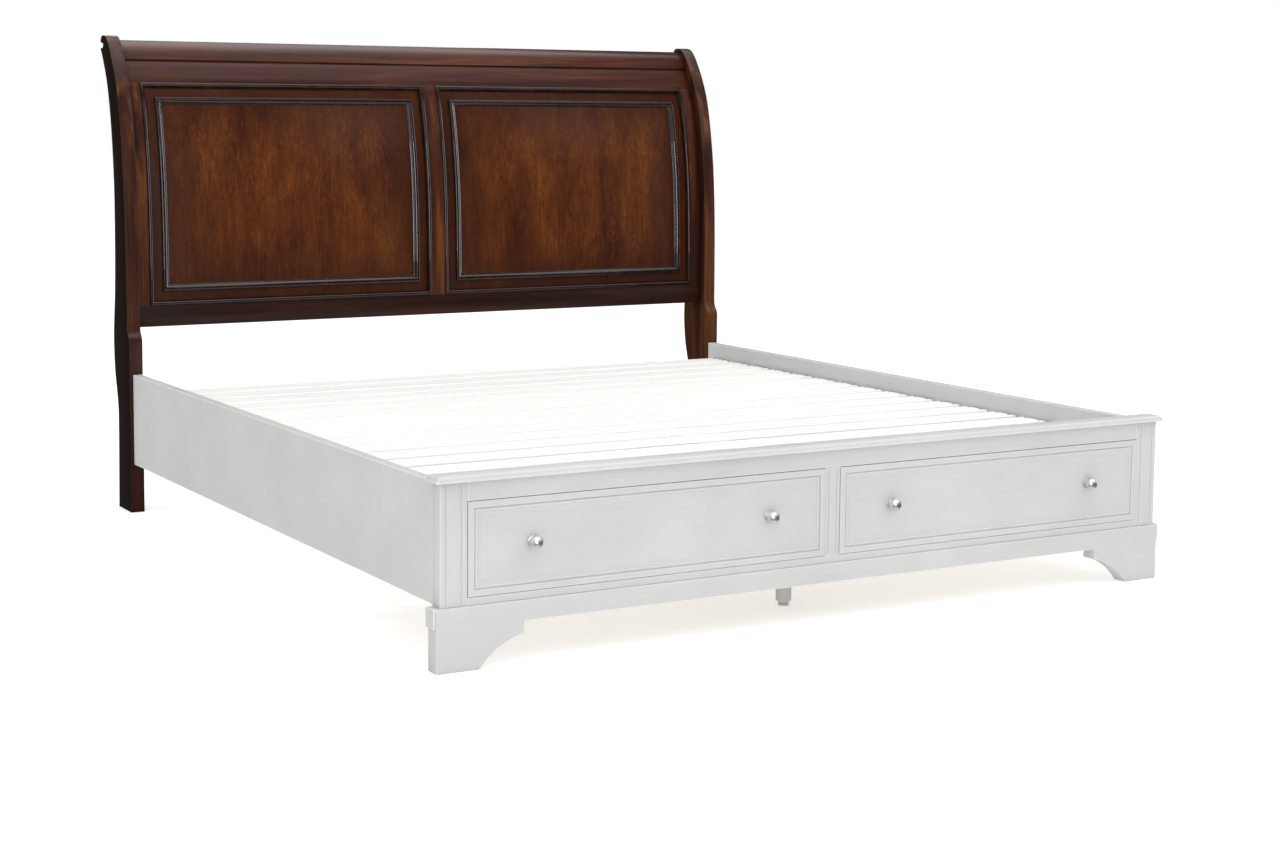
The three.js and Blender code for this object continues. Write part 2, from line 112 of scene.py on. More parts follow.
def new_material(name, **shader_values):
    """Material with one Principled shader whose uniform values are set on its own sockets."""
    material = bpy.data.materials.new(name)
    material.use_nodes = True
    shader = material.node_tree.nodes["Principled BSDF"]
    for key, value in shader_values.items():
        shader.inputs[key.replace("_", " ")].default_value = value
    return material, material.node_tree, shader


def set_ramp(node, stops):
    """Gives a colour ramp its stops, as (position, hex code)."""
    ramp = node.color_ramp
    while len(ramp.elements) < len(stops):
        ramp.elements.new(0.5)
    for element, (position, code) in zip(ramp.elements, stops):
        element.position = position
        element.color = colour(code)


print("a middle grey of the chart is", round(colour("#808080")[0], 3), "in linear light")

# %% [markdown]
# Grain, and one colour over another
#
# Wood has grain, which can be drawn as a noise that is stretched along the member. A finish is built
# up of colours that lie over each other, each one strong in some places and thin in others. So
# there are two short recipes: a stretched noise, and a colour that is laid over what is there as
# far as some cause, such as that noise, asks for it.

# %% Grain and layers
def grain_noise(tree, place, scale, **noise_values):
    """Noise on Object coordinates, with its own scale along each axis, in cells per metre."""
    stretch = add_node(
        tree, "ShaderNodeMapping", values={"Scale": scale}, links={"Vector": (place, "Object")}
    )
    return add_node(
        tree, "ShaderNodeTexNoise", values={"Scale": 1.0, **noise_values},
        links={"Vector": (stretch, "Vector")},
    )


def lay_over(tree, under, code, cause, fade, amount):
    """Lays a colour over another as a cause, a (node, output), goes through a range of values."""
    mask = add_node(
        tree, "ShaderNodeMapRange", links={"Value": cause},
        values={"From Min": fade[0], "From Max": fade[1], "To Min": amount[0],
                "To Max": amount[1]},
    )
    return add_node(
        tree, "ShaderNodeMix", settings={"data_type": "RGBA"}, values={"B": colour(code)},
        links={"Factor": (mask, "Result"), "A": under},
    )


# %% [markdown]
# Corners and edges
#
# Shade is painted into the corners, and the edges are made lighter in colour. The Ambient Occlusion
# node finds both: corners when it looks outward from the surface, edges when it looks inward, since
# the wood is thin there. A mask made in this way follows any shape and needs no texture painting.

# %% Corners and edges
EDGE_REACH = 4 * MM
AO_RAYS = 6  # few, since many samples of the whole picture smooth the rest


# Painted shade: darkens a colour where other walls stand close.
def painted_corner_shade(tree, under, code, reach, fade, strength):
    """Painted shade in the corners: full where other walls are within reach, none on open faces."""
    crowding = add_node(
        tree, "ShaderNodeAmbientOcclusion", settings={"samples": AO_RAYS},
        values={"Distance": reach},
    )
    return lay_over(tree, under, code, (crowding, "AO"), fade, (strength, 0.0))


# Makes a colour lighter along the sharp edges.
def paler_edges(tree, under, code, strength):
    """Lighter colour along the sharp edges, where the piece is thin as seen from inside it."""
    thinness = add_node(
        tree, "ShaderNodeAmbientOcclusion", settings={"samples": AO_RAYS, "inside": True},
        values={"Distance": EDGE_REACH},
    )
    return lay_over(tree, under, code, (thinness, "AO"), (0.85, 0.4), (0.0, strength))


# %% [markdown]
# Polish and relief
#
# No hand finish is evenly smooth: its polish differs a little from place to place, and the fibres
# stand up under it by a fraction of a millimetre. The same noises that colour the wood drive both,
# so that colour, gloss and relief agree.

# %% Polish and relief
def uneven_polish(tree, shader, noise, smoothest, roughest):
    """Roughness that follows a noise."""
    polish = add_node(
        tree, "ShaderNodeMapRange", values={"To Min": smoothest, "To Max": roughest},
        links={"Value": (noise, "Fac")},
    )
    tree.links.new(polish.outputs["Result"], shader.inputs["Roughness"])


def raised_fibres(tree, shader, noise, strength, height_mm):
    """Relief that follows a noise, of a real height."""
    relief = add_node(
        tree, "ShaderNodeBump", values={"Strength": strength, "Distance": height_mm * MM},
        links={"Height": (noise, "Fac")},
    )
    tree.links.new(relief.outputs["Normal"], shader.inputs["Normal"])


# %% [markdown]
# Streaked wood
#
# Sawn wood shows two things to the eye: streaks of darker and warmer tone, centimetres wide, that
# run with the length of each member, and fine fibres a couple of millimetres wide. Both are grain
# noise, one wide and one narrow. A joiner runs the grain along every member, so the recipe asks
# for the axis. The fibres' noise also raises them a little.

# %% Streaked wood
STREAK_STRETCH, FIBRE_STRETCH = 0.05, 0.02


def streaked_wood(name, grain, stops, fibre_dark, fibre_mm, streak_mm, bump_mm=0.2,
                  **shader_values):
    """Wood whose grain runs along one axis (0, 1 or 2), with streaks and fibres of a real width."""
    material, tree, shader = new_material(name, **shader_values)
    place = add_node(tree, "ShaderNodeTexCoord")
    along = [1.0, 1.0, 1.0]
    along[grain] = STREAK_STRETCH
    streak = grain_noise(tree, place, [a / (streak_mm * MM) for a in along],
                         Detail=5.0, Roughness=0.62, Distortion=0.5)
    ramp = add_node(tree, "ShaderNodeValToRGB", links={"Fac": (streak, "Fac")})
    set_ramp(ramp, stops)
    along[grain] = FIBRE_STRETCH
    fibre = grain_noise(tree, place, [a / (fibre_mm * MM) for a in along],
                        Detail=5.0, Roughness=0.75)
    fibred = lay_over(
        tree, (ramp, "Color"), fibre_dark, (fibre, "Fac"), (0.42, 0.66), (0.0, 0.55)
    )
    raised_fibres(tree, shader, fibre, 0.35, bump_mm)
    return material, tree, shader, fibred, streak


# %% [markdown]
# Stained cherry under satin lacquer
#
# The posts, rails and stiles are cherry, stained dark and sprayed with a satin lacquer. Shade is
# painted into the corners, and the edges are lighter in colour. The grain is upright on posts and
# stiles and level on rails. The stiles are golden, the rails plum brown, the crest has the most
# lacquer, and the posts have shade painted nearly black on their outer sides. Shade is also painted
# on the lower part of the frame, which is why the material reads the height.

# %% Cherry lacquer
SHADE_FADE = 0.12  # height over which the painted shade low on the frame fades out, in metres
POST_SIDE_X = (1.0176, 1.0198)  # between these, a post's face turns into its outer side


def cherry_lacquer(name, grain, tones, coat, shade_top, shaded_sides=0.0):
    """Dark cherry with painted shade below a height, on posts' outer sides and in corners; pale
    edges.
    """
    material, tree, shader, wood, streak = streaked_wood(
        name, grain, stops=tones,
        fibre_dark="#22100A", fibre_mm=2.2, streak_mm=34, bump_mm=0.25,
        Coat_Weight=coat, Coat_Roughness=0.14, Specular_IOR_Level=0.15,
    )
    place = add_node(tree, "ShaderNodeTexCoord")
    axes = add_node(tree, "ShaderNodeSeparateXYZ", links={"Vector": (place, "Object")})
    # Painted shade on the lower part of the frame, fading out upwards over a given height.
    shade_low_down = add_node(
        tree, "ShaderNodeMapRange", settings={"interpolation_type": "SMOOTHSTEP"},
        values={"From Min": shade_top - SHADE_FADE, "From Max": shade_top, "To Min": 0.72,
                "To Max": 0.0},
        links={"Value": (axes, "Z")},
    )
    # Painted shade, nearly black, on a post's outer side.
    outward = add_node(
        tree, "ShaderNodeMath", settings={"operation": "ABSOLUTE"}, links={0: (axes, "X")}
    )
    shaded_outer_side = add_node(
        tree, "ShaderNodeMapRange",
        values={"From Min": POST_SIDE_X[0], "From Max": POST_SIDE_X[1], "To Min": 0.0,
                "To Max": shaded_sides},
        links={"Value": (outward, "Value")},
    )
    darkening = add_node(
        tree, "ShaderNodeMath", settings={"operation": "MAXIMUM"},
        links={0: (shade_low_down, "Result"), 1: (shaded_outer_side, "Result")},
    )
    # The painted shade is laid here in a dark brown.
    darkened = add_node(
        tree, "ShaderNodeMix", settings={"data_type": "RGBA"}, values={"B": colour("#190A04")},
        links={"Factor": (darkening, "Value"), "A": (wood, "Result")},
    )
    # Painted shade in the corners.
    corner_shaded = painted_corner_shade(tree, (darkened, "Result"), "#140907", 0.02, (0.35, 0.95), 0.75)
    edged_paler = paler_edges(tree, (corner_shaded, "Result"), "#6A4029", 0.35)
    tree.links.new(edged_paler.outputs["Result"], shader.inputs["Base Color"])
    uneven_polish(tree, shader, streak, 0.30, 0.44)
    return material


GOLDEN_CHERRY = [(0.32, "#27110A"), (0.45, "#3C180D"), (0.56, "#4E240E"), (0.68, "#6A3B0F")]
PLUM_CHERRY = [(0.32, "#2A1311"), (0.45, "#3E1C15"), (0.56, "#4C2519"), (0.68, "#5E3421")]
DARK_CHERRY = [(0.32, "#23100B"), (0.45, "#34160E"), (0.56, "#46210F"), (0.68, "#653A14")]
# The last number gives the height below which shade is painted, and the posts get painted shade on
# their outer sides.
cherry_stile = cherry_lacquer("cherry_lacquer_stile", 2, GOLDEN_CHERRY, 0.04, 0.45)
cherry_rail = cherry_lacquer("cherry_lacquer_rail", 0, PLUM_CHERRY, 0.12, 0.70)
cherry_crest = cherry_lacquer("cherry_lacquer_crest", 0, PLUM_CHERRY, 0.7, 0.0)
cherry_post = cherry_lacquer("cherry_lacquer_post", 2, DARK_CHERRY, 0.25, 0.0, shaded_sides=0.9)
print("materials", [m.name for m in (cherry_stile, cherry_rail, cherry_crest, cherry_post)])

# %% [markdown]
# The veneer's toned rim
#
# The two panels are faced with a figured veneer. The finisher sprays a darker toner towards the
# edges, so each panel is warm in its middle and dark at its rim. A spray fades softly, so the mask
# is a smooth gradient over the distance from the panel's middle, across and upwards, and the
# stronger of the two counts. The two panels mirror each other, so one half serves for both.

# %% Toned rim
PANEL_MIDDLE_X, PANEL_MIDDLE_Z = 0.4815, 0.93


def panel_rim(tree, place):
    """0 in the middle of each panel, rising to 1 towards its four edges."""
    axes = add_node(tree, "ShaderNodeSeparateXYZ", links={"Vector": (place, "Object")})
    side = add_node(
        tree, "ShaderNodeMath", settings={"operation": "ABSOLUTE"}, links={0: (axes, "X")}
    )
    edges = []
    for coordinate, middle, start, end in (
        ((side, "Value"), PANEL_MIDDLE_X, 0.22, 0.44),
        ((axes, "Z"), PANEL_MIDDLE_Z, 0.12, 0.32),
    ):
        offset = add_node(
            tree, "ShaderNodeMath", settings={"operation": "SUBTRACT"}, values={1: middle},
            links={0: coordinate},
        )
        distance = add_node(
            tree, "ShaderNodeMath", settings={"operation": "ABSOLUTE"},
            links={0: (offset, "Value")},
        )
        edges.append(add_node(
            tree, "ShaderNodeMapRange", settings={"interpolation_type": "SMOOTHSTEP"},
            values={"From Min": start, "From Max": end}, links={"Value": (distance, "Value")},
        ))
    return add_node(
        tree, "ShaderNodeMath", settings={"operation": "MAXIMUM"},
        links={0: (edges[0], "Result"), 1: (edges[1], "Result")},
    )


# %% [markdown]
# The veneer's growth rings
#
# Veneer is cut slantwise through the growth rings, which then show as faint arches. The sine of a
# smooth noise that is stretched upwards draws such lines: they follow the noise's own contours, as
# the rings follow the trunk's. A second noise makes them stronger in some patches than in others.

# %% Growth rings
RINGS = 190.0  # how many radians of sine the noise's whole range gives


def growth_rings(tree, place):
    """Faint arched lines, stronger in some patches than in others."""
    warp = grain_noise(tree, place, (11.0, 11.0, 2.4), Detail=2.0, Roughness=0.45,
                       Distortion=0.4)
    phase = add_node(
        tree, "ShaderNodeMath", settings={"operation": "MULTIPLY"}, values={1: RINGS},
        links={0: (warp, "Fac")},
    )
    wave = add_node(
        tree, "ShaderNodeMath", settings={"operation": "SINE"}, links={0: (phase, "Value")}
    )
    patch = add_node(
        tree, "ShaderNodeTexNoise", values={"Scale": 7.0, "Detail": 2.0, "Roughness": 0.5},
        links={"Vector": (place, "Object")},
    )
    patch_mask = add_node(
        tree, "ShaderNodeMapRange", settings={"interpolation_type": "SMOOTHSTEP"},
        values={"From Min": 0.42, "From Max": 0.62, "To Min": 0.01, "To Max": 0.06},
        links={"Value": (patch, "Fac")},
    )
    return add_node(
        tree, "ShaderNodeMath", settings={"operation": "MULTIPLY"},
        links={0: (wave, "Value"), 1: (patch_mask, "Result")},
    )


# %% [markdown]
# The figured veneer
#
# The veneer is laid with its grain upright. Clouds of tone, the rings, patches of curl that catch
# the light and fine dark fibres lie over each other, and the toner comes last, as in the workshop.
# The fibres are drawn about 6 mm wide, coarser than real ones, because finer ones would be lost at
# the distance from which a whole bed is seen. A thin satin coat gives a soft sheen.

# %% Panel veneer
def panel_veneer(name):
    """Warm orange-brown veneer with arched rings, curl, fibres and toned edges."""
    material, tree, shader = new_material(
        name, Coat_Weight=0.05, Coat_Roughness=0.16, Specular_IOR_Level=0.12,
    )
    place = add_node(tree, "ShaderNodeTexCoord")
    cloud = grain_noise(tree, place, (12.0, 12.0, 3.4), Detail=7.0, Roughness=0.68,
                        Distortion=0.25)
    figure = add_node(
        tree, "ShaderNodeMath", settings={"operation": "ADD"},
        links={0: (cloud, "Fac"), 1: (growth_rings(tree, place), "Value")},
    )
    tone = add_node(tree, "ShaderNodeValToRGB", links={"Fac": (figure, "Value")})
    set_ramp(tone, [(0.30, "#3E170A"), (0.44, "#562A0D"), (0.56, "#65330D"), (0.72, "#774210")])
    curl = grain_noise(tree, place, (85.0, 85.0, 36.0), Detail=4.0, Roughness=0.7,
                       Distortion=1.6)
    curled = lay_over(tree, (tone, "Color"), "#34140A", (curl, "Fac"), (0.38, 0.66), (0.0, 0.5))
    fibre = grain_noise(tree, place, (170.0, 170.0, 5.5), Detail=6.0, Roughness=0.8)
    fibred = lay_over(
        tree, (curled, "Result"), "#240D06", (fibre, "Fac"), (0.42, 0.68), (0.0, 0.62)
    )
    darkening = add_node(
        tree, "ShaderNodeMath", settings={"operation": "MULTIPLY"}, values={1: 0.72},
        links={0: (panel_rim(tree, place), "Value")},
    )
    darkened = add_node(
        tree, "ShaderNodeMix", settings={"data_type": "RGBA"}, values={"B": colour("#2C1209")},
        links={"Factor": (darkening, "Value"), "A": (fibred, "Result")},
    )
    tree.links.new(darkened.outputs["Result"], shader.inputs["Base Color"])
    uneven_polish(tree, shader, cloud, 0.26, 0.42)
    raised_fibres(tree, shader, fibre, 0.25, 0.2)
    return material


cherry_veneer = panel_veneer("figured_cherry_veneer")
print("material", cherry_veneer.name)

# %% [markdown]
# Black beads
#
# The beads round the panels are lacquered nearly black and polished, so they read as dark lines
# with one thin bright line of reflected light along the crown. A smooth coat over a dark base
# gives that line, and painted shade makes the hollows fully black.

# %% Bead lacquer
def bead_lacquer(name):
    """Polished lacquer, faintly mottled dark brown, with painted shade black in its hollows."""
    material, tree, shader = new_material(
        name, Coat_Weight=0.7, Coat_Roughness=0.04, Specular_IOR_Level=0.15,
    )
    place = add_node(tree, "ShaderNodeTexCoord")
    mottle = add_node(
        tree, "ShaderNodeTexNoise", values={"Scale": 38.0, "Detail": 5.0, "Roughness": 0.6},
        links={"Vector": (place, "Object")},
    )
    tone = add_node(tree, "ShaderNodeValToRGB", links={"Fac": (mottle, "Fac")})
    set_ramp(tone, [(0.35, "#190A07"), (0.55, "#26110B"), (0.75, "#3A1C11")])
    # Painted shade, nearly black, in the hollows of the moulding.
    corner_shaded = painted_corner_shade(tree, (tone, "Color"), "#040202", 0.008, (0.45, 0.95), 1.0)
    tree.links.new(corner_shaded.outputs["Result"], shader.inputs["Base Color"])
    uneven_polish(tree, shader, mottle, 0.14, 0.26)
    return material


black_bead = bead_lacquer("near_black_bead_lacquer")
print("material", black_bead.name)

# %% [markdown]
# Bare and washed wood
#
# The back board is plain stained plywood, with a dull surface. The slats are pine under a white
# wash, which hides all but a little of the grain, and the drawer boxes are pale birch. They are the
# streaked wood of before with their own tones, and no lacquer: a rough surface gives no highlight.

# %% Bare woods
def matt_wood(name, stops, fibre_dark, fibre_mm=3.0, streak_mm=60, polish=(0.6, 0.8)):
    """Streaked wood along the bed's width, with an unpolished surface."""
    material, tree, shader, wood, streak = streaked_wood(
        name, 0, stops, fibre_dark, fibre_mm, streak_mm
    )
    tree.links.new(wood.outputs["Result"], shader.inputs["Base Color"])
    uneven_polish(tree, shader, streak, *polish)
    return material


stained_ply = matt_wood(
    "stained_back_plywood", [(0.3, "#3A2116"), (0.5, "#4C2E1F"), (0.7, "#5E3B28")], "#2E1A12"
)
white_pine = matt_wood(
    "white_washed_pine", [(0.3, "#F2F0EC"), (0.5, "#F8F7F5"), (0.7, "#FCFCFB")], "#E6E3DD",
    fibre_mm=3.5, streak_mm=26,
)
pale_birch = matt_wood(
    "pale_birch", [(0.3, "#DDD5C6"), (0.5, "#E6E0D4"), (0.7, "#EDE9E0")], "#CFC4B0",
    fibre_mm=2.5, streak_mm=34, polish=(0.5, 0.65),
)
print("materials", [m.name for m in (stained_ply, white_pine, pale_birch)])

# %% [markdown]
# Grey paint
#
# The base is hardwood under a pale grey satin paint, thin enough for the grain to show as faint
# ridges, with shade painted a little darker into the corners, and paler along the edges. The ridges
# are drawn about 2 mm wide. One material for each direction keeps the grain along each board.

# %% Satin paint
PAINT_FIBRES = 420.0
PAINT_FIBRES_ALONG = 9.0


def satin_paint(name, grain):
    """Pale grey paint over hardwood: faint grain, painted shade in the corners, paler edges."""
    material, tree, shader = new_material(name, Coat_Weight=0.12, Coat_Roughness=0.3)
    place = add_node(tree, "ShaderNodeTexCoord")
    scale = [PAINT_FIBRES] * 3
    scale[grain] = PAINT_FIBRES_ALONG
    fibre = grain_noise(tree, place, scale, Detail=4.0, Roughness=0.7)
    patch = add_node(
        tree, "ShaderNodeTexNoise", values={"Scale": 5.0, "Detail": 4.0, "Roughness": 0.6},
        links={"Vector": (place, "Object")},
    )
    both = add_node(
        tree, "ShaderNodeMix", settings={"data_type": "FLOAT"}, values={0: 0.45},
        links={2: (patch, "Fac"), 3: (fibre, "Fac")},
    )
    tone = add_node(tree, "ShaderNodeValToRGB", links={"Fac": (both, 0)})
    set_ramp(tone, [(0.30, "#C0C0BF"), (0.5, "#C6C6C5"), (0.7, "#CBCBCA")])
    # Painted shade, a little darker grey, in the corners.
    shaded = painted_corner_shade(tree, (tone, "Color"), "#A9A9A8", 0.012, (0.3, 0.9), 0.5)
    edged_paler = paler_edges(tree, (shaded, "Result"), "#F8F8F8", 0.8)
    tree.links.new(edged_paler.outputs["Result"], shader.inputs["Base Color"])
    uneven_polish(tree, shader, patch, 0.42, 0.58)
    raised_fibres(tree, shader, fibre, 0.3, 0.2)
    return material


paint_level = satin_paint("pale_grey_satin_paint_level", grain=0)
paint_upright = satin_paint("pale_grey_satin_paint_upright", grain=2)
paint_long = satin_paint("pale_grey_satin_paint_lengthwise", grain=1)
print("materials", [m.name for m in (paint_level, paint_upright, paint_long)])

# %% [markdown]
# Metal and plastic
#
# The knobs are satin nickel, which shows the room as a soft blur. The screws and plates are
# zinc-plated steel, greyer and blotchy. The glides are moulded polypropylene, an even grey with a
# low sheen. All three differ only a little from place to place, so one recipe serves them.

# %% Nickel, zinc and plastic
def mottled_surface(name, tones, polish, grit_mm, metallic=1.0):
    """Metal or plastic with small differences of tone and polish."""
    material, tree, shader = new_material(name, Metallic=metallic)
    place = add_node(tree, "ShaderNodeTexCoord")
    smear = add_node(
        tree, "ShaderNodeTexNoise",
        values={"Scale": 1 / (grit_mm * MM), "Detail": 4.0, "Roughness": 0.7},
        links={"Vector": (place, "Object")},
    )
    tone = add_node(tree, "ShaderNodeValToRGB", links={"Fac": (smear, "Fac")})
    set_ramp(tone, [(0.3, tones[0]), (0.7, tones[1])])
    tree.links.new(tone.outputs["Color"], shader.inputs["Base Color"])
    uneven_polish(tree, shader, smear, *polish)
    return material


satin_nickel = mottled_surface("satin_nickel", ("#DCDAD7", "#F0EEEB"), (0.36, 0.5), 1.5)
zinc_steel = mottled_surface("zinc_plated_steel", ("#8E8F90", "#B4B5B4"), (0.28, 0.45), 3.0)
glide_plastic = mottled_surface(
    "moulded_polypropylene_glide", ("#B2B2B0", "#C2C2C0"), (0.45, 0.6), 2.0, metallic=0.0
)
print("materials", len(bpy.data.materials))

# %% [markdown]
# Selecting and editing, in code
#
# An operator works on whatever is selected, and loading the frame leaves its pieces selected. So
# each piece starts from a clean selection. These helpers do what a hand on the mouse does: make one
# object active, go in and out of edit mode, and pick faces, edges or points by where they are.

# %% Select and edit
def only(part):
    """Makes one object the active and only selected one, in object mode."""
    if bpy.context.object and bpy.context.object.mode != "OBJECT":
        bpy.ops.object.mode_set(mode="OBJECT")
    bpy.ops.object.select_all(action="DESELECT")
    part.select_set(True)
    bpy.context.view_layer.objects.active = part
    return part


def edit(part):
    """Opens a piece in edit mode with nothing selected."""
    only(part)
    bpy.ops.object.mode_set(mode="EDIT")
    bpy.ops.mesh.select_all(action="DESELECT")


def pick(part, kind, test):
    """In edit mode, selects only the faces, edges or verts whose middle passes the test."""
    modes = {"verts": (True, False, False), "edges": (False, True, False),
             "faces": (False, False, True)}
    bpy.context.tool_settings.mesh_select_mode = modes[kind]
    bpy.ops.mesh.select_all(action="DESELECT")
    bm = bmesh.from_edit_mesh(part.data)
    for item in getattr(bm, kind):
        if kind == "verts":
            middle = item.co
        elif kind == "edges":
            middle = (item.verts[0].co + item.verts[1].co) / 2
        else:
            middle = item.calc_center_median()
        if test(middle, item):
            item.select_set(True)
    bm.select_flush_mode()
    bmesh.update_edit_mesh(part.data)


def done(part):
    """Leaves edit mode."""
    bpy.ops.object.mode_set(mode="OBJECT")
    return part


# %% [markdown]
# Easing the edges
#
# No real edge is perfectly sharp: sanding leaves a small round, and it catches a thin line of light.
# A Bevel modifier limited to sharp angles does this all over a piece. It is applied at once, and
# the faces are then shaded smooth except across the edges that stay sharp.

# %% Ease the edges
def apply_modifier(part, kind, **settings):
    """Adds a modifier and applies it."""
    only(part)
    modifier = part.modifiers.new(kind.lower(), kind)
    for key, value in settings.items():
        setattr(modifier, key, value)
    bpy.ops.object.modifier_apply(modifier=modifier.name)


def ease_edges(part, width_mm, segments=2, angle=35):
    """Rounds the sharp edges of a piece and shades what is left smooth."""
    if width_mm:
        apply_modifier(part, "BEVEL", width=width_mm * MM, segments=segments,
                       limit_method="ANGLE", angle_limit=math.radians(angle))
    only(part)
    bpy.ops.object.shade_smooth_by_angle(angle=math.radians(angle))


# %% [markdown]
# Handing a piece over
#
# A finished piece gets its material and the body that it moves with, and the frame's node that it
# stands for is hidden. What repeats is modelled once and copied. A copy gets its own mesh, and it
# is moved in that mesh, so that its object stays at the origin.

# %% Hand over and copy
def finished(part, material, nodes=(), body="bed"):
    """Gives a piece its finish and the body that it rides on, and hides the frame nodes it stands
    for.
    """
    part.data.materials.clear()
    part.data.materials.append(material)
    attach(part, body)
    if nodes:
        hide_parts(*nodes)
    return part


def copy_of(part, name, move=(0, 0, 0)):
    """A copy with its own mesh, moved in its mesh and not by its object."""
    only(part)
    bpy.ops.object.duplicate(linked=False)
    twin = bpy.context.object
    twin.name = name
    twin.location = move
    bpy.ops.object.transform_apply(location=True, rotation=False, scale=False)
    return twin


def size_of(part):
    """Width, depth and height in millimetres, for the printed log."""
    co = np.array([v.co for v in part.data.vertices])
    return [round(float(v) / MM) for v in co.max(0) - co.min(0)]


# %% [markdown]
# The sleigh curve
#
# All the wood of the headboard follows one template: the front edge of the posts, nearly upright at
# the deck and leaning back more and more until it rolls over at the top. A joiner would draw it
# through a few measured points with a bent batten. Here a smooth line is drawn through the same
# points, and face_point gives any place on the panelled face, which lies 26 mm behind the posts'
# front edge, or deeper in the wood.

# %% The template
FACE_TEMPLATE = [
    (18, 548), (19, 640), (21, 770), (26, 890), (37, 1010), (56, 1125),
    (80, 1222), (112, 1294), (148, 1352), (168, 1377),
]
FRAME_SET_BACK = 26
SETTLE_STEPS = 8


def smooth_line(points, steps):
    """A smooth line through points, with that many steps between each two."""
    points = [np.array(p, float) for p in points]
    last = len(points) - 1
    line = []
    for i in range(last):
        before, a = points[max(i - 1, 0)], points[i]
        b, after = points[i + 1], points[min(i + 2, last)]
        leave, arrive = (b - before) / 2, (after - a) / 2
        for t in np.arange(steps) / steps:
            line.append(
                (2 * a - 2 * b + leave + arrive) * t ** 3
                + (3 * b - 3 * a - 2 * leave - arrive) * t ** 2 + leave * t + a
            )
    return line + [points[-1]]


FACE_LINE = np.array(smooth_line(FACE_TEMPLATE, 24))
FACE_SLOPE = np.gradient(FACE_LINE, axis=0)
FACE_SLOPE /= np.linalg.norm(FACE_SLOPE, axis=1, keepdims=True)


def face_point(z, depth):
    """(y, z) on the headboard's face at height z, moved back into the wood by depth."""
    z_line = z  # height of the template's point from which the set-back line reaches z
    for _ in range(SETTLE_STEPS):
        z_line = z + FRAME_SET_BACK * np.interp(z_line, FACE_LINE[:, 1], FACE_SLOPE[:, 0])
    y = np.interp(z_line, FACE_LINE[:, 1], FACE_LINE[:, 0])
    lean, rise = (np.interp(z_line, FACE_LINE[:, 1], FACE_SLOPE[:, k]) for k in (0, 1))
    back = FRAME_SET_BACK + depth
    return (float(y + rise * back), float(z_line - lean * back))


print("face leans back", [round(face_point(z, 0)[0]) for z in (603, 930, 1258)], "mm")

# %% [markdown]
# Sawn to a template
#
# A curved member such as a sleigh post is sawn from a thick plank with a template. A flat curve is
# the template: it is filled, given the plank's thickness with Extrude, turned upright, and made a
# mesh. Then its sharp edges get the small round that sanding leaves. The same few steps make the
# posts, the crest rail, the curved boards and the plinth, so they are one function.

# %% Saw to a template
MERGE_GAP = 0.02 * MM


def template_curve(name, outline, closed=True):
    """A flat curve object through (u, v) points in millimetres."""
    data = bpy.data.curves.new(name, "CURVE")
    data.dimensions = "2D" if closed else "3D"
    spline = data.splines.new("POLY")
    spline.points.add(len(outline) - 1)
    for point, (u, v) in zip(spline.points, outline):
        point.co = (u * MM, v * MM, 0, 1)
    spline.use_cyclic_u = closed
    template = bpy.data.objects.new(name, data)
    bpy.context.scene.collection.objects.link(template)
    return only(template)


def saw_board(name, outline, axis, low, high, ease_mm=1.5, segments=2):
    """Board of the template's shape, its thickness from low to high along X or Y, in mm."""
    template = template_curve(name, outline)
    template.data.fill_mode = "BOTH"
    template.data.extrude = abs(high - low) / 2 * MM
    middle = (low + high) / 2 * MM
    if axis == "X":
        template.rotation_euler = (math.pi / 2, 0, math.pi / 2)
        template.location = (middle, HEAD_FRONT_Y, 0)
    else:
        template.rotation_euler = (math.pi / 2, 0, 0)
        template.location = (0, middle + HEAD_FRONT_Y, 0)
    bpy.ops.object.convert(target="MESH")
    board = bpy.context.object
    board.name = name
    bpy.ops.object.transform_apply(location=True, rotation=True, scale=True)
    edit(board)
    bpy.ops.mesh.select_all(action="SELECT")
    bpy.ops.mesh.remove_doubles(threshold=MERGE_GAP)
    bpy.ops.mesh.dissolve_limited(angle_limit=math.radians(0.05))
    bpy.ops.mesh.normals_make_consistent(inside=False)
    done(board)
    ease_edges(board, ease_mm, segments)
    return board


def bezier(a, b, c, d, steps):
    """Points on a curve from a to d, pulled towards b and c. The last point is left out."""
    a, b, c, d = (np.array(p, float) for p in (a, b, c, d))
    return [
        (1 - t) ** 3 * a + 3 * (1 - t) ** 2 * t * b + 3 * (1 - t) * t ** 2 * c + t ** 3 * d
        for t in np.arange(steps) / steps
    ]


# %% [markdown]
# The posts
#
# Each post is one 40 mm plank. Its foot is straight and tapers, it steps back in a small ogee where
# the side rail meets it, and its top rolls over into a scroll. The slit behind the scroll is where
# the saw leaves the roll. The left post is sawn once and copied to the right.

# %% Posts
BED_HALF = 1020
POST_WIDTH = 40
HEAD_HEIGHT = 1396
post_outline = [(0, 0)]
post_outline += bezier((0, 500), (0, 524), (17, 518), (18, 548), 12)
post_outline += smooth_line(FACE_TEMPLATE, 8)[:-1]
post_outline += smooth_line(
    [(168, 1377), (185, 1390), (208, HEAD_HEIGHT - 0.4), (228, 1392), (237, 1376)], 8
)
post_outline += bezier((219, 1373), (209, 1372), (209, 1361), (219, 1360), 10)
post_outline += [(219, 1360)]
post_outline += smooth_line(
    [(236.7, 1357), (213, 1322), (174, 1244), (143, 1118), (125, 960), (124, 780), (131, 640),
     (147, 510), (139, 405), (116, 318), (111, 240), (118, 0)], 8
)
post_left = saw_board(
    "sleigh_post_left", post_outline, "X", -BED_HALF, POST_WIDTH - BED_HALF, ease_mm=1.8,
    segments=3,
)
post_right = copy_of(post_left, "sleigh_post_right", ((2 * BED_HALF - POST_WIDTH) * MM, 0, 0))
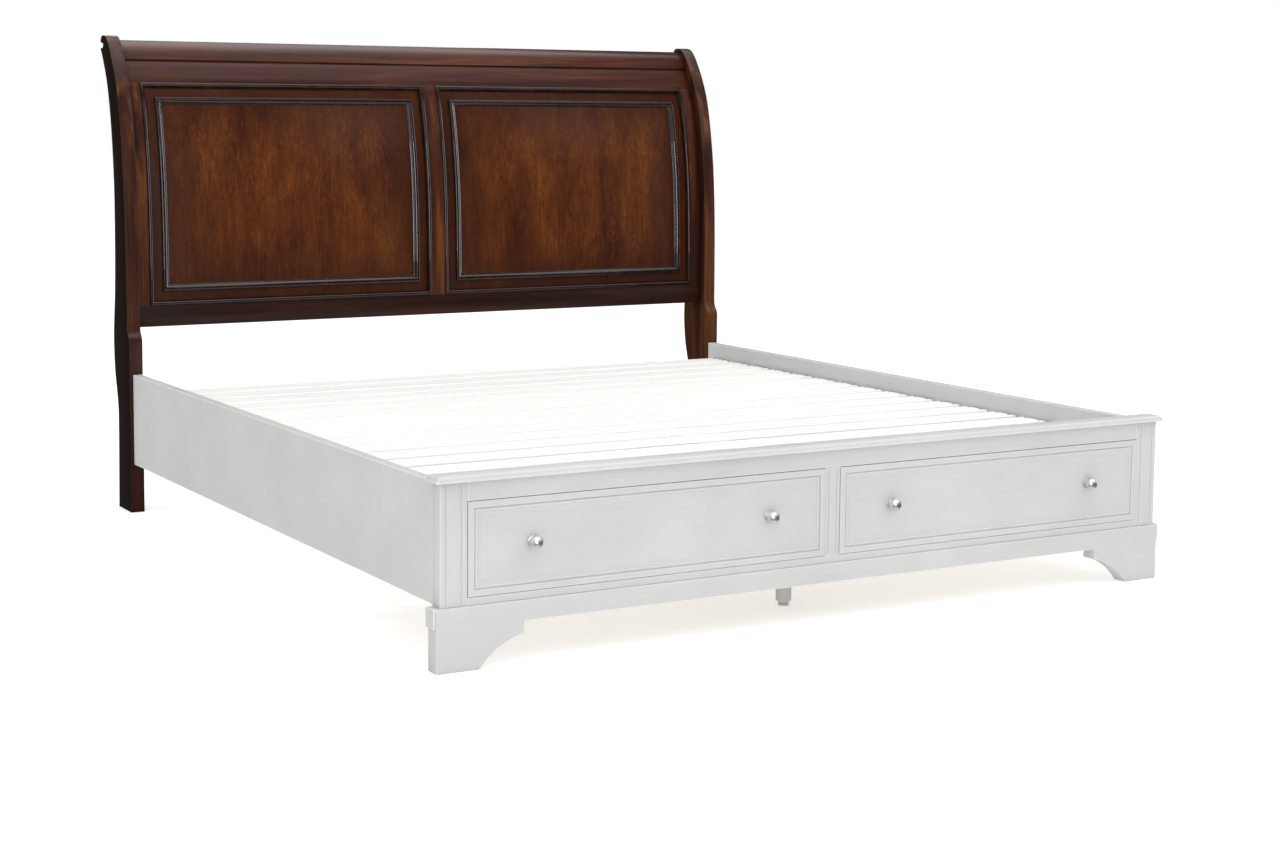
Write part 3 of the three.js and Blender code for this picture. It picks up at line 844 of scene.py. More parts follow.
for post, side in ((post_left, "left"), (post_right, "right")):
    finished(post, cherry_post, [f"post_{side}"])
print("post", size_of(post_left), "mm,", len(post_left.data.polygons), "faces")

# %% [markdown]
# The crest rail and the curved frame
#
# Between the posts run the crest, a roll that follows the posts' scroll a little inside it, and a
# flat-faced frame of rails and stiles with its back board. Each follows the face curve: the rails
# are curved boards the full width, and the stiles narrow strips of the same curve. The template of
# each is the front line going up and the back line coming down.

# %% Crest, rails, stiles and back board
FIT = 0.3  # the gap in mm that a good fit leaves between two pieces
INNER_HALF = BED_HALF - POST_WIDTH - FIT
HEAD_BOTTOM_Z, PANEL_BOTTOM_Z, PANEL_TOP_Z, SEAM_Z = 541, 603, 1258, 1323
PANEL_OUTER_X, CENTER_HALF = 940, 23
FRAME_THICK, BACK_THICK, CREST_PROUD = 32, 6, 5
STATION_PITCH = 14


def curved_board(name, x0, x1, z0, z1, front, back, ease_mm=1.2):
    """Board on the headboard's curve between two heights and two depths."""
    count = max(3, round((z1 - z0) / STATION_PITCH))
    heights = np.linspace(z0, z1, count)
    going_up = [face_point(z, front) for z in heights]
    coming_down = [face_point(z, back) for z in heights[::-1]]
    return saw_board(name, coming_down + going_up, "X", x0, x1, ease_mm)


crest_outline = smooth_line(
    [face_point(SEAM_Z, -CREST_PROUD), (172, 1363), (193, 1379), (211, 1383), (226, 1377),
     (229, 1362), (214, 1338), face_point(SEAM_Z, FRAME_THICK + BACK_THICK)], 9
)
crest = saw_board("crest_roll", crest_outline, "X", -INNER_HALF, INNER_HALF, ease_mm=2.0)
finished(crest, cherry_crest, ["crest_rail"])

FRAME_PIECES = [
    ("frame_rail_upper", "upper_rail", -INNER_HALF, INNER_HALF, PANEL_TOP_Z + FIT, SEAM_Z - 2 * FIT),
    ("frame_rail_lower", "lower_rail", -INNER_HALF, INNER_HALF, HEAD_BOTTOM_Z,
     PANEL_BOTTOM_Z - FIT),
    ("frame_stile_left", "stile_left", -INNER_HALF, -PANEL_OUTER_X, PANEL_BOTTOM_Z, PANEL_TOP_Z),
    ("frame_stile_right", "stile_right", PANEL_OUTER_X, INNER_HALF, PANEL_BOTTOM_Z, PANEL_TOP_Z),
    ("frame_stile_middle", "stile_center", -CENTER_HALF, CENTER_HALF, PANEL_BOTTOM_Z,
     PANEL_TOP_Z),
]
for name, node, x0, x1, z0, z1 in FRAME_PIECES:
    board = curved_board(name, x0, x1, z0, z1, 0, FRAME_THICK)
    grain = cherry_rail if "rail" in name else cherry_stile
    finished(board, grain, [node])
    print(name, size_of(board), "mm")

back_board = curved_board(
    "back_panel_ply", -INNER_HALF, INNER_HALF, HEAD_BOTTOM_Z, SEAM_Z - 1,
    FRAME_THICK + FIT, FRAME_THICK + FIT + BACK_THICK, ease_mm=0.6,
)
finished(back_board, stained_ply, ["back_board"])

# %% [markdown]
# The panels
#
# A panel is a thin curved board, held in the frame 10 mm below its face. The two are cut from the
# same curve, and the second is a copy of the first moved along the bed's width. The veneer's figure
# is laid by the material over the whole headboard, so the two don't repeat each other.

# %% Panels
PANEL_DEPTH, PANEL_THICK = 10, 12
PANEL_STEP = (CENTER_HALF + PANEL_OUTER_X) * MM
panel_left = curved_board(
    "veneered_panel_left", -PANEL_OUTER_X + FIT, -CENTER_HALF - FIT, PANEL_BOTTOM_Z + FIT,
    PANEL_TOP_Z - FIT, PANEL_DEPTH, PANEL_DEPTH + PANEL_THICK, ease_mm=0.5,
)
panel_right = copy_of(panel_left, "veneered_panel_right", (PANEL_STEP, 0, 0))
finished(panel_left, cherry_veneer, ["panel_left"])
finished(panel_right, cherry_veneer, ["panel_right"])
print("panel", size_of(panel_left), "mm")

# %% [markdown]
# The beads
#
# Two mitred mouldings frame each panel: a bead at the frame's edge, and a wider nosed one laid on
# the panel. A joiner planes the section on straight lengths and mitres the corners. Insetting a
# rectangle again and again does the same: each inset is one step of the section, and the mitres
# come by themselves. The moulding is made flat first, like the joiner's straight lengths.

# %% Make a flat mitred moulding
def inset_steps(section):
    """Insets the selected face once for each step of a section of (inset, depth), in mm."""
    for (inset, depth), (next_inset, next_depth) in zip(section, section[1:]):
        bpy.ops.mesh.inset(
            thickness=(next_inset - inset) * MM, depth=(depth - next_depth) * MM,
            use_even_offset=True, use_boundary=True,
        )


def flat_moulding(name, x0, x1, z0, z1, front_y, section, bed_depth):
    """Mitred frame in an upright plane; depths are measured back from front_y, in mm."""
    bpy.ops.object.select_all(action="DESELECT")
    bpy.ops.mesh.primitive_plane_add(
        size=1, rotation=(math.pi / 2, 0, 0),
        location=((x0 + x1) / 2 * MM, (front_y + section[0][1]) * MM, (z0 + z1) / 2 * MM),
    )
    frame_piece = bpy.context.object
    frame_piece.name = name
    frame_piece.scale = ((x1 - x0) * MM, (z1 - z0) * MM, 1)
    bpy.ops.object.transform_apply(location=True, rotation=True, scale=True)
    edit(frame_piece)
    bpy.ops.mesh.select_all(action="SELECT")
    inset_steps(section)
    bpy.ops.mesh.delete(type="FACE")
    front = (front_y + section[0][1]) * MM
    last_inset = section[-1][0] * MM

    def on_outline(middle, edge):
        inside = (abs(middle.x - (x0 + x1) / 2 * MM) < (x1 - x0) / 2 * MM - last_inset / 2
                  and abs(middle.z - (z0 + z1) / 2 * MM) < (z1 - z0) / 2 * MM - last_inset / 2)
        return len(edge.link_faces) == 1 and not inside

    pick(frame_piece, "edges", on_outline)
    bpy.ops.mesh.extrude_region_move(
        TRANSFORM_OT_translate={"value": (0, front_y * MM + bed_depth * MM - front, 0)}
    )
    pick(frame_piece, "edges", lambda middle, edge: len(edge.link_faces) == 1)
    bpy.ops.mesh.bridge_edge_loops()
    bpy.ops.mesh.select_all(action="SELECT")
    bpy.ops.mesh.normals_make_consistent(inside=False)
    return done(frame_piece)


# %% [markdown]
# Bending the moulding
#
# A flat moulding has to lie on the leaning face. A steamed strip is bent over a former, a little at
# a time. Here the flat frame is cut across with Bisect at many heights, and all that lies above
# each cut is turned about it like a hinge. The hinges are 13 mm apart, so the bend looks round,
# and the section keeps its shape all the way up.

# %% Bend it over the curve
HINGE_PITCH, NEAR_CUT = 13, 0.2


def bend_to_face(part, z0, z1):
    """Bends a flat upright piece, which starts at height z0, on to the headboard's face."""
    count = round((z1 - z0) / HINGE_PITCH)
    hinges = [face_point(z, 0) for z in np.linspace(z0, z1, count + 1)]
    spans = [np.subtract(b, a) for a, b in zip(hinges, hinges[1:])]
    lengths = [float(np.hypot(*span)) for span in spans]
    flat = [z0 + sum(lengths[:k]) for k in range(count)]
    edit(part)
    for height in flat[1:]:
        bpy.ops.mesh.select_all(action="SELECT")
        bpy.ops.mesh.bisect(plane_co=(0, 0, height * MM), plane_no=(0, 0, 1))
    bm = bmesh.from_edit_mesh(part.data)
    flat_height = [v.co.z for v in bm.verts]
    leaning = 0.0
    for height, hinge, span in zip(flat, hinges, spans):
        lean = math.atan2(span[0], span[1])
        start = (height - NEAR_CUT) * MM if height > flat[0] else -1
        pick(part, "verts", lambda middle, v: flat_height[v.index] > start)
        bpy.ops.transform.rotate(
            value=lean - leaning, orient_axis="X",
            center_override=(0, HEAD_FRONT_Y + hinge[0] * MM, hinge[1] * MM),
        )
        leaning = lean
    return done(part)


def curve_length(z0, z1):
    """Length of the face curve between two heights, from hinge to hinge."""
    count = round((z1 - z0) / HINGE_PITCH)
    points = [face_point(z, 0) for z in np.linspace(z0, z1, count + 1)]
    return sum(float(np.hypot(*np.subtract(b, a))) for a, b in zip(points, points[1:]))


print("the panel opening measures", round(curve_length(PANEL_BOTTOM_Z, PANEL_TOP_Z)),
      "mm along the curve and", PANEL_TOP_Z - PANEL_BOTTOM_Z, "mm straight up")

# %% [markdown]
# The outer and the inner bead
#
# The outer bead is a half round with a small cove inside it. The inner one is wider and flatter, a
# nose that falls to the panel by a small step. Each section is a list of (inset, depth) steps. The
# left panel's two mouldings are made and bent, and copied to the right panel.

# %% Outer and inner beads
BED_DEPTH = PANEL_DEPTH - FIT
OUTER_SECTION = smooth_line(
    [(0, -0.6), (0.9, -2.4), (2.6, -3.6), (4.8, -4.0), (7.0, -3.6), (9.0, -2.4), (10.4, -0.6),
     (11.0, 1.4)], 3,
)[:-1] + [(11.0, 1.4), (11.6, 3.6), (12.8, 5.0), (13.4, 7.0), (14, BED_DEPTH)]
INNER_SECTION = smooth_line(
    [(0, 3.4), (0.5, 1.4), (1.8, -0.1), (3.8, -1.0), (6.2, -1.2), (8.8, -0.6), (11.2, 0.6),
     (13.4, 2.2), (15.2, 4.0)], 3,
)[:-1] + [(15.2, 4.0), (16.2, 5.8), (17.6, 6.5), (19.2, 6.9), (20.2, 8.0), (21, BED_DEPTH)]
BEAD_SPACING = 41  # from the opening to the inner moulding


def bead_frame(name, margin, section):
    """Moulding round the left panel, that far in from the panel's opening."""
    x0, x1 = -PANEL_OUTER_X + FIT + margin, -CENTER_HALF - FIT - margin
    z0, z1 = PANEL_BOTTOM_Z + FIT + margin, PANEL_TOP_Z - FIT - margin
    front_y = HEAD_FRONT_Y / MM + face_point(z0, 0)[0]
    flat_top = z0 + curve_length(z0, z1)
    bead = flat_moulding(name, x0, x1, z0, flat_top, front_y, section, BED_DEPTH)
    bend_to_face(bead, z0, z1)
    only(bead)
    bpy.ops.object.shade_smooth_by_angle(angle=math.radians(42))
    return bead


for kind, margin, section in (("outer", 0, OUTER_SECTION), ("inner", BEAD_SPACING, INNER_SECTION)):
    left = bead_frame(f"{kind}_moulding_left", margin, section)
    right = copy_of(left, f"{kind}_moulding_right", (PANEL_STEP, 0, 0))
    finished(left, black_bead, [f"{kind}_bead_left"])
    finished(right, black_bead, [f"{kind}_bead_right"])
    print(left.name, size_of(left), "mm")

# %% [markdown]
# Straight boards
#
# The side rails, cleats, slats, beam and drawer parts are straight sawn boards, and the frame
# already has them at their true size. They keep their shape. Their mesh is loose triangles, so a
# Weld joins them, and a Bevel takes off the sharp edges, which is what makes wood look like wood:
# every edge catches a thin line of light. These modifiers stay live.

# %% Finish the straight boards
def finish_node(name, material, ease_mm=1.5, segments=2):
    """Eases the edges of a frame node and gives it its material."""
    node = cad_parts[name]
    node.modifiers.new("weld", "WELD").merge_threshold = 0.00001
    bevel = node.modifiers.new("bevel", "BEVEL")
    bevel.width = ease_mm * MM
    bevel.segments = segments
    bevel.limit_method = "ANGLE"
    bevel.angle_limit = math.radians(35)
    node.data.materials.clear()
    node.data.materials.append(material)


for side in ("left", "right"):
    finish_node(f"side_rail_{side}", paint_long, 2.0)
    finish_node(f"slat_cleat_{side}", white_pine)
    finish_node(f"plinth_block_{side}", paint_level, 1.0)
    finish_node(f"guide_{side}", pale_birch, 1.0)
    finish_node(f"drawer_box_{side}", pale_birch, 1.0)
SLAT_COUNT = 16
for number in range(1, SLAT_COUNT + 1):
    finish_node(f"slat_{number:02d}", white_pine, 2.5, 3)
finish_node("center_beam", white_pine, 2.0)
finish_node("foot_top_rail", paint_level, 0.8)
finish_node("foot_bottom_rail", paint_level, 0.8)
finish_node("guide_center", pale_birch, 1.0)
finish_node("guide_back_rail", pale_birch, 1.0)
print("boards kept from the frame", len([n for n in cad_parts.values() if n.modifiers]))

# %% [markdown]
# The footboard's cap
#
# The cap is a thin board with a moulding worked along its front and both ends: a square lower edge,
# a small fillet, and a quarter round above it. A slab of the lower edge's height is added first, and
# its top face is inset and raised by steps, which carries the moulding round the corners.

# %% Cap
def slab(name, low, high):
    """A block between two corners in metres, with its place and size in its mesh."""
    bpy.ops.object.select_all(action="DESELECT")
    bpy.ops.mesh.primitive_cube_add(size=1, location=[(a + b) / 2 for a, b in zip(low, high)])
    part = bpy.context.object
    part.name = name
    part.scale = [b - a for a, b in zip(low, high)]
    bpy.ops.object.transform_apply(location=True, rotation=True, scale=True)
    return part


cap_low, cap_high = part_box("foot_cap")
SQUARE_EDGE = 0.004
cap = slab("footboard_cap", cap_low, (cap_high.x, cap_high.y, cap_low.z + SQUARE_EDGE))
CAP_SECTION = [(0, 0), (0.8, -0.8), (2.0, -1.0), (2.2, -2.2), (2.8, -4.2), (4.0, -6.2),
               (5.8, -8.0), (8.0, -9.3), (10.4, -10.0)]
edit(cap)
pick(cap, "faces", lambda middle, face: face.normal.z > 0.9)
inset_steps(CAP_SECTION)
done(cap)
ease_edges(cap, 0.5, 2, 40)
finished(cap, paint_level, ["foot_cap"])
print("cap", size_of(cap), "mm")

# %% [markdown]
# The footboard's stiles
#
# The end stiles carry a bead worked on their outer corner and a narrow raised lip round the drawer
# opening. A scratch stock cuts such lines as shallow grooves. Each stile starts as a block, is
# bisected at both sides of each groove, and the strip between is pushed back by 1.8 mm.

# %% Stiles with scratched grooves
GROOVE_WIDTH, GROOVE_DEPTH = 2.2 * MM, 1.8 * MM


def groove_front(part, centres, front_y):
    """Sinks upright grooves into the front face of a part, at the given places along X."""
    edit(part)
    for centre in centres:
        for edge_x in (centre - GROOVE_WIDTH / 2, centre + GROOVE_WIDTH / 2):
            bpy.ops.mesh.select_all(action="SELECT")
            bpy.ops.mesh.bisect(plane_co=(edge_x, 0, 0), plane_no=(1, 0, 0))
    for centre in centres:
        pick(part, "faces", lambda middle, face: abs(middle.x - centre) < GROOVE_WIDTH / 3
             and abs(middle.y - front_y) < 0.0005)
        bpy.ops.mesh.extrude_region_move(
            TRANSFORM_OT_translate={"value": (0, GROOVE_DEPTH, 0)}
        )
    return done(part)


OUTER_GROOVE, INNER_GROOVE, MIDDLE_GROOVE = 0.013, 0.014, 0.011
for name, node in (("left", "left"), ("right", "right"), ("middle", "center")):
    low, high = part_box(f"foot_stile_{node}")
    grooves = {
        "left": (low.x + OUTER_GROOVE, high.x - INNER_GROOVE),
        "right": (high.x - OUTER_GROOVE, low.x + INNER_GROOVE),
        "middle": (-MIDDLE_GROOVE, MIDDLE_GROOVE),
    }[name]
    stile = slab(f"footboard_stile_{name}", low, high)
    groove_front(stile, grooves, low.y)
    ease_edges(stile, 0.8, 2, 50)
    finished(stile, paint_upright, [f"foot_stile_{node}"])
print("footboard stile", size_of(stile), "mm")

# %% [markdown]
# The plinth
#
# Under the drawers runs one board whose lower edge is sawn out between two bracket feet: a straight
# apron, a short upright step, and a hollow curve down to the toe. It is sawn to a template like the
# posts, but facing the foot of the bed.

# %% Plinth
plinth_low, plinth_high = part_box("plinth")
PLINTH_HALF, PLINTH_TOP = plinth_high.x / MM, plinth_high.z / MM
bracket = [(919, 0)] + [
    tuple((1 - t) ** 2 * np.array((919, 0)) + 2 * (1 - t) * t * np.array((880, 52))
          + t ** 2 * np.array((811, 68)))
    for t in np.linspace(0.05, 1, 20)
]
right_half = [(PLINTH_HALF, PLINTH_TOP), (PLINTH_HALF, 0)] + bracket + [(811, 94)]
plinth_outline = right_half + [(-x, z) for x, z in right_half[::-1]]
plinth = saw_board(
    "bracket_plinth", plinth_outline, "Y",
    (plinth_low.y - HEAD_FRONT_Y) / MM, (plinth_high.y - HEAD_FRONT_Y) / MM, ease_mm=1.6,
    segments=3,
)
finished(plinth, paint_level, ["plinth"])
print("plinth", size_of(plinth), "mm")

# %% [markdown]
# The drawer fronts
#
# Each drawer front is a board with a moulding worked into it: a flat margin, a small step down, a
# bead, and a hollow that runs into the sunk field. Insetting the front face step by step gives all
# four mitres at once. The left front is copied to the right. The fronts are planed a little snug in
# their openings, so that only a thin dark line shows round them.

# %% Drawer fronts
FRONT_SECTION = [
    (0, 1.2), (0.5, 0.4), (1.3, 0), (13.6, 0), (14.2, 1.0), (14.8, 2.9), (16.2, 3.0),
    (17.2, 1.7), (18.8, 0.9), (20.6, 0.9), (22.2, 1.7), (23.2, 3.1), (24.4, 3.4), (26.4, 3.7),
    (28.6, 4.5), (30.6, 5.6), (32.0, 6.6), (33, 7.0),
]
front_low, front_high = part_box("drawer_front_left")
SNUG, FIRST_STEP = 0.8 * MM, FRONT_SECTION[0][1] * MM
front_left = slab(
    "drawer_face_left", (front_low.x - SNUG, front_low.y + FIRST_STEP, front_low.z - SNUG),
    (front_high.x + SNUG, front_high.y, front_high.z + SNUG),
)
edit(front_left)
pick(front_left, "faces", lambda middle, face: face.normal.y < -0.9)
inset_steps(FRONT_SECTION)
done(front_left)
ease_edges(front_left, 0, angle=32)
front_right = copy_of(
    front_left, "drawer_face_right", (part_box("drawer_front_right")[0].x - front_low.x, 0, 0)
)
finished(front_left, paint_level, ["drawer_front_left"], "drawer_left")
finished(front_right, paint_level, ["drawer_front_right"], "drawer_right")
print("drawer front", size_of(front_left), "mm")

# %% [markdown]
# Turned pieces
#
# A knob is turned: its outline goes once round its axis. The outline is drawn as an open line and
# spun, and the seam where the turn closes is merged. Legs are turned in the same way, with their
# axis upright.

# %% Turn on the lathe
def turned(name, outline, steps, centre, upright=False):
    """Spins an outline of (radius, height) in mm. The axis runs to the front, or up."""
    template_curve(name, outline, closed=False)
    bpy.ops.object.convert(target="MESH")
    part = bpy.context.object
    part.name = name
    edit(part)
    bpy.ops.mesh.select_all(action="SELECT")
    bpy.ops.mesh.spin(steps=steps, angle=2 * math.pi, center=(0, 0, 0), axis=(0, 1, 0))
    bpy.ops.mesh.select_all(action="SELECT")
    bpy.ops.mesh.remove_doubles(threshold=MERGE_GAP)
    bpy.ops.mesh.normals_make_consistent(inside=False)
    done(part)
    part.rotation_euler = (math.pi / 2 if upright else math.pi, 0, 0)
    part.location = centre
    bpy.ops.object.transform_apply(location=True, rotation=True, scale=True)
    only(part)
    bpy.ops.object.shade_smooth_by_angle(angle=math.radians(40))
    return part


# %% [markdown]
# The knobs
#
# Each drawer has two knobs. The base flares on to the wood, the neck is thin, and the head is a
# ball with a small flat button. The first is turned, and the other three are copies of it, each
# moved to where the frame has it. A knob rides on its drawer.

# %% Knobs
ball = [
    (14.5 * math.cos(a), 16.5 + 14.5 * math.sin(a))
    for a in np.linspace(math.radians(-62), math.radians(80), 16)
]
KNOB_OUTLINE = (
    [(0, 0), (12.6, 0), (13, 0.5), (13, 1.4), (12.4, 2.0), (10.4, 2.3), (8.6, 2.8), (7.2, 3.4)]
    + ball + [(1.6, 30.9), (0, 31)]
)
for side, body in (("left", "drawer_left"), ("right", "drawer_right")):
    for number in (1, 2):
        low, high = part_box(f"knob_{side}_{number}")
        centre = ((low.x + high.x) / 2, high.y, (low.z + high.z) / 2)
        if side == "left" and number == 1:
            first_centre = centre
            knob = first_knob = turned("turned_knob_left_1", KNOB_OUTLINE, 36, centre)
        else:
            knob = copy_of(first_knob, f"turned_knob_{side}_{number}",
                           Vector(centre) - Vector(first_centre))
        finished(knob, satin_nickel, [f"knob_{side}_{number}"], body)
print("knob", size_of(first_knob), "mm,", len(first_knob.data.polygons), "faces")

# %% [markdown]
# Legs and glides
#
# Three turned legs carry the middle beam. Each stands on a plastic glide, which keeps the wood off
# a damp floor and lets the bed slide a little. The glide is turned too, with a thin gap above it.

# %% Legs and glides
for place in ("head", "middle", "foot"):
    low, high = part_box(f"leg_{place}")
    top = (high.z - low.z) / MM
    centre = ((low.x + high.x) / 2, (low.y + high.y) / 2, low.z)
    leg_outline = [(0, 8.5), (12.2, 8.5), (12.4, 10), (17.6, 11.4), (18.8, 12.6), (18.8, top - 1),
                   (18.0, top), (0, top)]
    leg = turned(f"beam_leg_{place}", leg_outline, 32, centre, upright=True)
    finished(leg, paint_upright, [f"leg_{place}"])
    glide_outline = [(0, 0), (11.4, 0), (12.9, 1.2), (12.9, 6.4), (11.8, 8.2), (0, 8.2)]
    glide = turned(f"leg_glide_{place}", glide_outline, 32, centre, upright=True)
    finished(glide, glide_plastic)
print("leg", size_of(leg), "mm, glide", size_of(glide), "mm")

# %% [markdown]
# Screws
#
# Nothing holds a bed together by itself. One screw head is modelled from a low disc whose top is
# inset and sunk, and it is copied to every place with its own mesh. The copies are joined so that
# each row is one piece. Twelve sides are enough for a shape this small that is repeated so often.

# %% Screws
SCREW_RADIUS, SCREW_SIDES, SCREW_RISE = 4.2 * MM, 12, 0.6 * MM
SCREW_SECTION = [(0, 0), (1.1, -0.5), (2.0, -0.6), (2.3, 0.4)]


def place_screws(name, spots):
    """Copies one screw head to each (place, direction) and joins them into one piece."""
    bpy.ops.object.select_all(action="DESELECT")
    bpy.ops.mesh.primitive_circle_add(
        vertices=SCREW_SIDES, radius=SCREW_RADIUS, fill_type="NGON"
    )
    screw = bpy.context.object
    edit(screw)
    bpy.ops.mesh.select_all(action="SELECT")
    bpy.ops.mesh.extrude_region_move(TRANSFORM_OT_translate={"value": (0, 0, SCREW_RISE)})
    inset_steps(SCREW_SECTION)
    bpy.ops.mesh.select_all(action="SELECT")
    bpy.ops.mesh.normals_make_consistent(inside=False)
    done(screw)
    copies = []
    for place, direction in spots:
        twin = screw.copy()
        twin.data = screw.data.copy()
        bpy.context.scene.collection.objects.link(twin)
        twin.rotation_euler = Vector(direction).to_track_quat("Z", "Y").to_euler()
        twin.location = place
        copies.append(twin)
    bpy.data.objects.remove(screw)
    only(copies[0])
    for twin in copies:
        twin.select_set(True)
    bpy.ops.object.join()
    row = bpy.context.object
    row.name = name
    bpy.ops.object.transform_apply(location=True, rotation=True, scale=True)
    ease_edges(row, 0)
    return finished(row, zinc_steel)


# %% [markdown]
# Rows of screws
#
# Two screws hold each end of a slat to its cleat. The back board has screws close together along its
# top and bottom edge, and three in each row between: at both sides and in the middle. On the
# leaning back, each screw points straight out of the curve.

# %% Rows of screws
CLEAT_X, SCREW_PAIR = 0.968, 0.026
slat_spots = []
for number in range(1, SLAT_COUNT + 1):
    low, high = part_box(f"slat_{number:02d}")
    middle = (low.y + high.y) / 2
    for x in (-CLEAT_X, CLEAT_X):
        slat_spots += [((x, middle + dy, high.z), (0, 0, 1)) for dy in (-SCREW_PAIR, SCREW_PAIR)]
place_screws("slat_screws", slat_spots)
BACK_DEPTH = FRAME_THICK + FIT + BACK_THICK
SCREW_ROWS, EDGE_COLUMN = (556, 700, 850, 1000, 1140, 1270), 0.955
back_spots = []
for z in SCREW_ROWS:
    (y0, z0), (y1, z1) = face_point(z - 2, BACK_DEPTH), face_point(z + 2, BACK_DEPTH)
    y, up_z = face_point(z, BACK_DEPTH)
    outward = (0, z1 - z0, -(y1 - y0))
    along_edge = z in (SCREW_ROWS[0], SCREW_ROWS[-1])
    columns = np.linspace(-EDGE_COLUMN, EDGE_COLUMN, 9 if along_edge else 3)
    back_spots += [((x, HEAD_FRONT_Y + y * MM, up_z * MM), outward) for x in columns]
place_screws("back_board_screws", back_spots)
print("screws", len(slat_spots), "on the slats,", len(back_spots), "on the back")

# %% [markdown]
# Joining plates
#
# Steel plates inside the side rails join them to the headboard and the footboard, so that the bed
# can be taken apart. A plate is a thin block whose four short edges are bevelled into round
# corners, with a screw near each corner.

# %% Joining plates
PLATE_THICK, PLATE_CORNER = 3 * MM, 9 * MM
SCREW_IN_Y, SCREW_IN_Z = 0.018, 0.014


def steel_plate(name, x_wall, side, y0, y1, z0, z1):
    """Plate on a side rail's inner face, its corners rounded."""
    x0, x1 = sorted((x_wall, x_wall - side * PLATE_THICK))
    plate = slab(name, (x0, y0, z0), (x1, y1, z1))
    edit(plate)
    pick(plate, "edges", lambda middle, edge: abs(
        (edge.verts[0].co - edge.verts[1].co).x) > PLATE_THICK / 2)
    bpy.ops.mesh.bevel(offset=PLATE_CORNER, segments=5, affect="EDGES")
    done(plate)
    ease_edges(plate, 0.5)
    return finished(plate, zinc_steel)


plate_spots = []
rail_low, rail_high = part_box("side_rail_right")
for side, sign in (("left", -1), ("right", 1)):
    wall = sign * rail_low.x
    for place, y0, y1, z0, z1 in (
        ("head", rail_high.y - 0.115, rail_high.y - 0.004, 0.175, 0.300),
        ("foot", rail_low.y + 0.004, rail_low.y + 0.100, 0.252, 0.306),
    ):
        steel_plate(f"rail_plate_{place}_{side}", wall, sign, y0, y1, z0, z1)
        plate_spots += [
            ((wall - sign * PLATE_THICK, y, z), (-sign, 0, 0))
            for y in (y0 + SCREW_IN_Y, y1 - SCREW_IN_Y)
            for z in (z0 + SCREW_IN_Z, z1 - SCREW_IN_Z)
        ]
place_screws("rail_plate_screws", plate_spots)
print("plates with", len(plate_spots), "screws")

# %% [markdown]
# The floor
#
# A plain pale floor stands for the studio's sweep. It glows a little, which keeps the bed's shadow
# pale, as paper lit from all sides does. Polished surfaces don't see it, so that it doesn't wash
# out the lower part of the dark wood.

# %% Floor
FLOOR_SIZE = 60
bpy.ops.object.select_all(action="DESELECT")
bpy.ops.mesh.primitive_plane_add(size=FLOOR_SIZE, location=(0, 0, 0))
floor = bpy.context.object
floor.name = "studio_floor"
floor_paint, floor_tree, floor_shader = new_material(
    "matt_studio_floor", Roughness=0.9, Emission_Strength=0.36
)
floor_place = add_node(floor_tree, "ShaderNodeTexCoord")
floor_noise = add_node(
    floor_tree, "ShaderNodeTexNoise", values={"Scale": 3.0, "Detail": 2.0},
    links={"Vector": (floor_place, "Object")},
)
floor_tone = add_node(floor_tree, "ShaderNodeValToRGB", links={"Fac": (floor_noise, "Fac")})
set_ramp(floor_tone, [(0.3, "#F4F4F4"), (0.7, "#F7F7F7")])
floor_shader.inputs["Emission Color"].default_value = (1, 1, 1, 1)
floor_tree.links.new(floor_tone.outputs["Color"], floor_shader.inputs["Base Color"])
floor.data.materials.append(floor_paint)
floor.visible_glossy = False
print("floor", floor.name, "with", floor_paint.name)

# %% [markdown]
# Lights and cards
#
# Two soft lights stand high at the left and right front, and a third hangs over the deck. Dark
# lacquer shows mostly what it reflects, so white cards stand round the set where only polished
# surfaces see them: beside the bed for the flanks of the beads, at the left front for the thin
# bright line along their crowns, low in front for the knobs, and behind for the crest.

# %% Lights
def soft_light(name, location, target, size, power):
    """Rectangular area light that faces a point."""
    bpy.ops.object.light_add(type="AREA", location=location)
    light = bpy.context.object
    light.name = name
    light.data.shape = "RECTANGLE"
    light.data.size, light.data.size_y = size
    light.data.energy = power
    aim = Vector(target) - Vector(location)
    light.rotation_euler = aim.to_track_quat("-Z", "Y").to_euler()
    light.visible_camera = False
    return light


COOL_WHITE = (0.86, 0.93, 1.0)


def reflection_card(name, location, target, size, power):
    """A cool white light that only shows in polished surfaces, as a card beside the set does."""
    card = soft_light(name, location, target, size, power)
    card.visible_diffuse = False
    card.data.color = COOL_WHITE


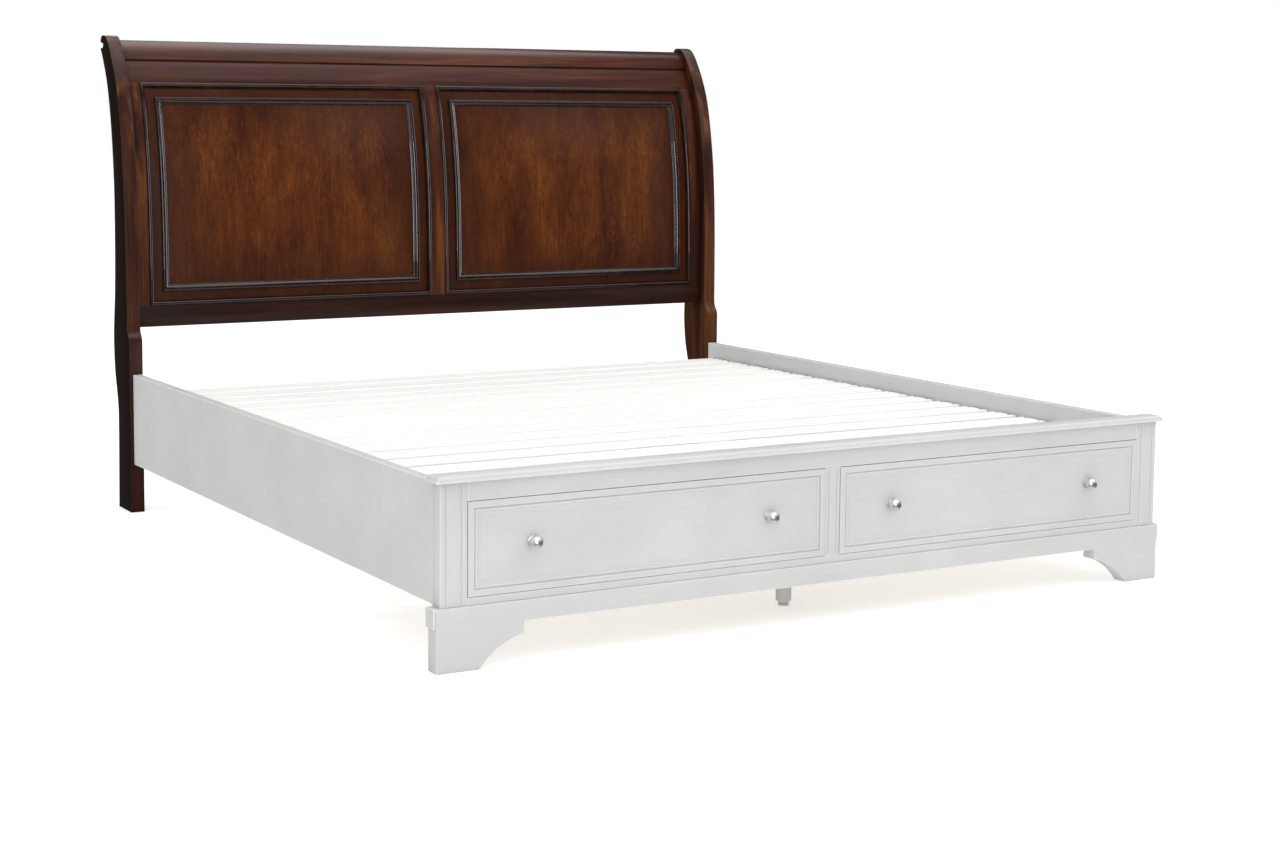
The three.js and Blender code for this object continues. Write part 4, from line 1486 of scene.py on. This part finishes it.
soft_light("key_softbox", (-3.4, -4.2, 4.0), (0, 0.2, 0.7), (2.6, 2.6), 26)
soft_light("fill_softbox", (3.6, -4.2, 4.0), (0, 0.2, 0.7), (2.6, 2.6), 30)
for card in (
    ("right_card", (5.8, 0.1, 1.5), (0.2, 1.0, 0.9), (2.4, 3.2), 120),
    ("left_card", (-5.2, -0.6, 1.9), (-1.0, 1.0, 0.9), (2.0, 3.0), 40),
    ("front_left_card", (-3.0, -4.6, 1.7), (-0.2, 1.0, 0.9), (1.3, 2.6), 120),
    ("low_card", (-3.2, -5.4, 0.6), (0, -1.1, 0.35), (2.6, 1.2), 12),
    ("back_card", (0.8, 6.5, 3.6), (0, 1.1, 1.3), (4.6, 2.4), 60),
):
    reflection_card(*card)
overhead = soft_light("overhead_softbox", (0, -1.4, 4.4), (0, 0.6, 0.8), (4.5, 2.6), 75)
overhead.visible_glossy = False

# %% [markdown]
# The sky
#
# The sky fills the shadows with even white light, and the camera sees it as plain white. Polished
# wood sees another one: bright straight above and from below, and dim at the horizon, so the
# upright panels keep their depth and only the roll of the crest picks up a pale sheen. Light Path
# tells the world which kind of ray is asking.

# %% Sky
world = bpy.data.worlds.new("studio_sky")
bpy.context.scene.world = world
world.use_nodes = True
sky = world.node_tree
background = sky.nodes["Background"]
background.inputs["Color"].default_value = (1, 1, 1, 1)
direction = add_node(sky, "ShaderNodeTexCoord")
up = add_node(sky, "ShaderNodeSeparateXYZ", links={"Vector": (direction, "Generated")})
polished = add_node(
    sky, "ShaderNodeMapRange",
    values={"From Min": 0.6, "From Max": 0.98, "To Min": 0.05, "To Max": 3.0},
    links={"Value": (up, "Z")},
)
from_below = add_node(
    sky, "ShaderNodeMapRange",
    values={"From Min": -0.5, "From Max": -0.9, "To Min": 0.0, "To Max": 0.9},
    links={"Value": (up, "Z")},
)
mirrored = add_node(
    sky, "ShaderNodeMath", settings={"operation": "ADD"},
    links={0: (polished, "Result"), 1: (from_below, "Result")},
)
seen = add_node(sky, "ShaderNodeLightPath")
glow = add_node(
    sky, "ShaderNodeMix", settings={"data_type": "FLOAT"}, values={2: 0.88},
    links={0: (seen, "Is Glossy Ray"), 3: (mirrored, "Value")},
)
backdrop = add_node(
    sky, "ShaderNodeMix", settings={"data_type": "FLOAT"}, values={3: 1.0},
    links={0: (seen, "Is Camera Ray"), 2: (glow, 0)},
)
sky.links.new(backdrop.outputs[0], background.inputs["Strength"])
bpy.context.scene.view_settings.view_transform = "Standard"
bpy.context.scene.view_settings.look = "None"
print("sky", world.name)
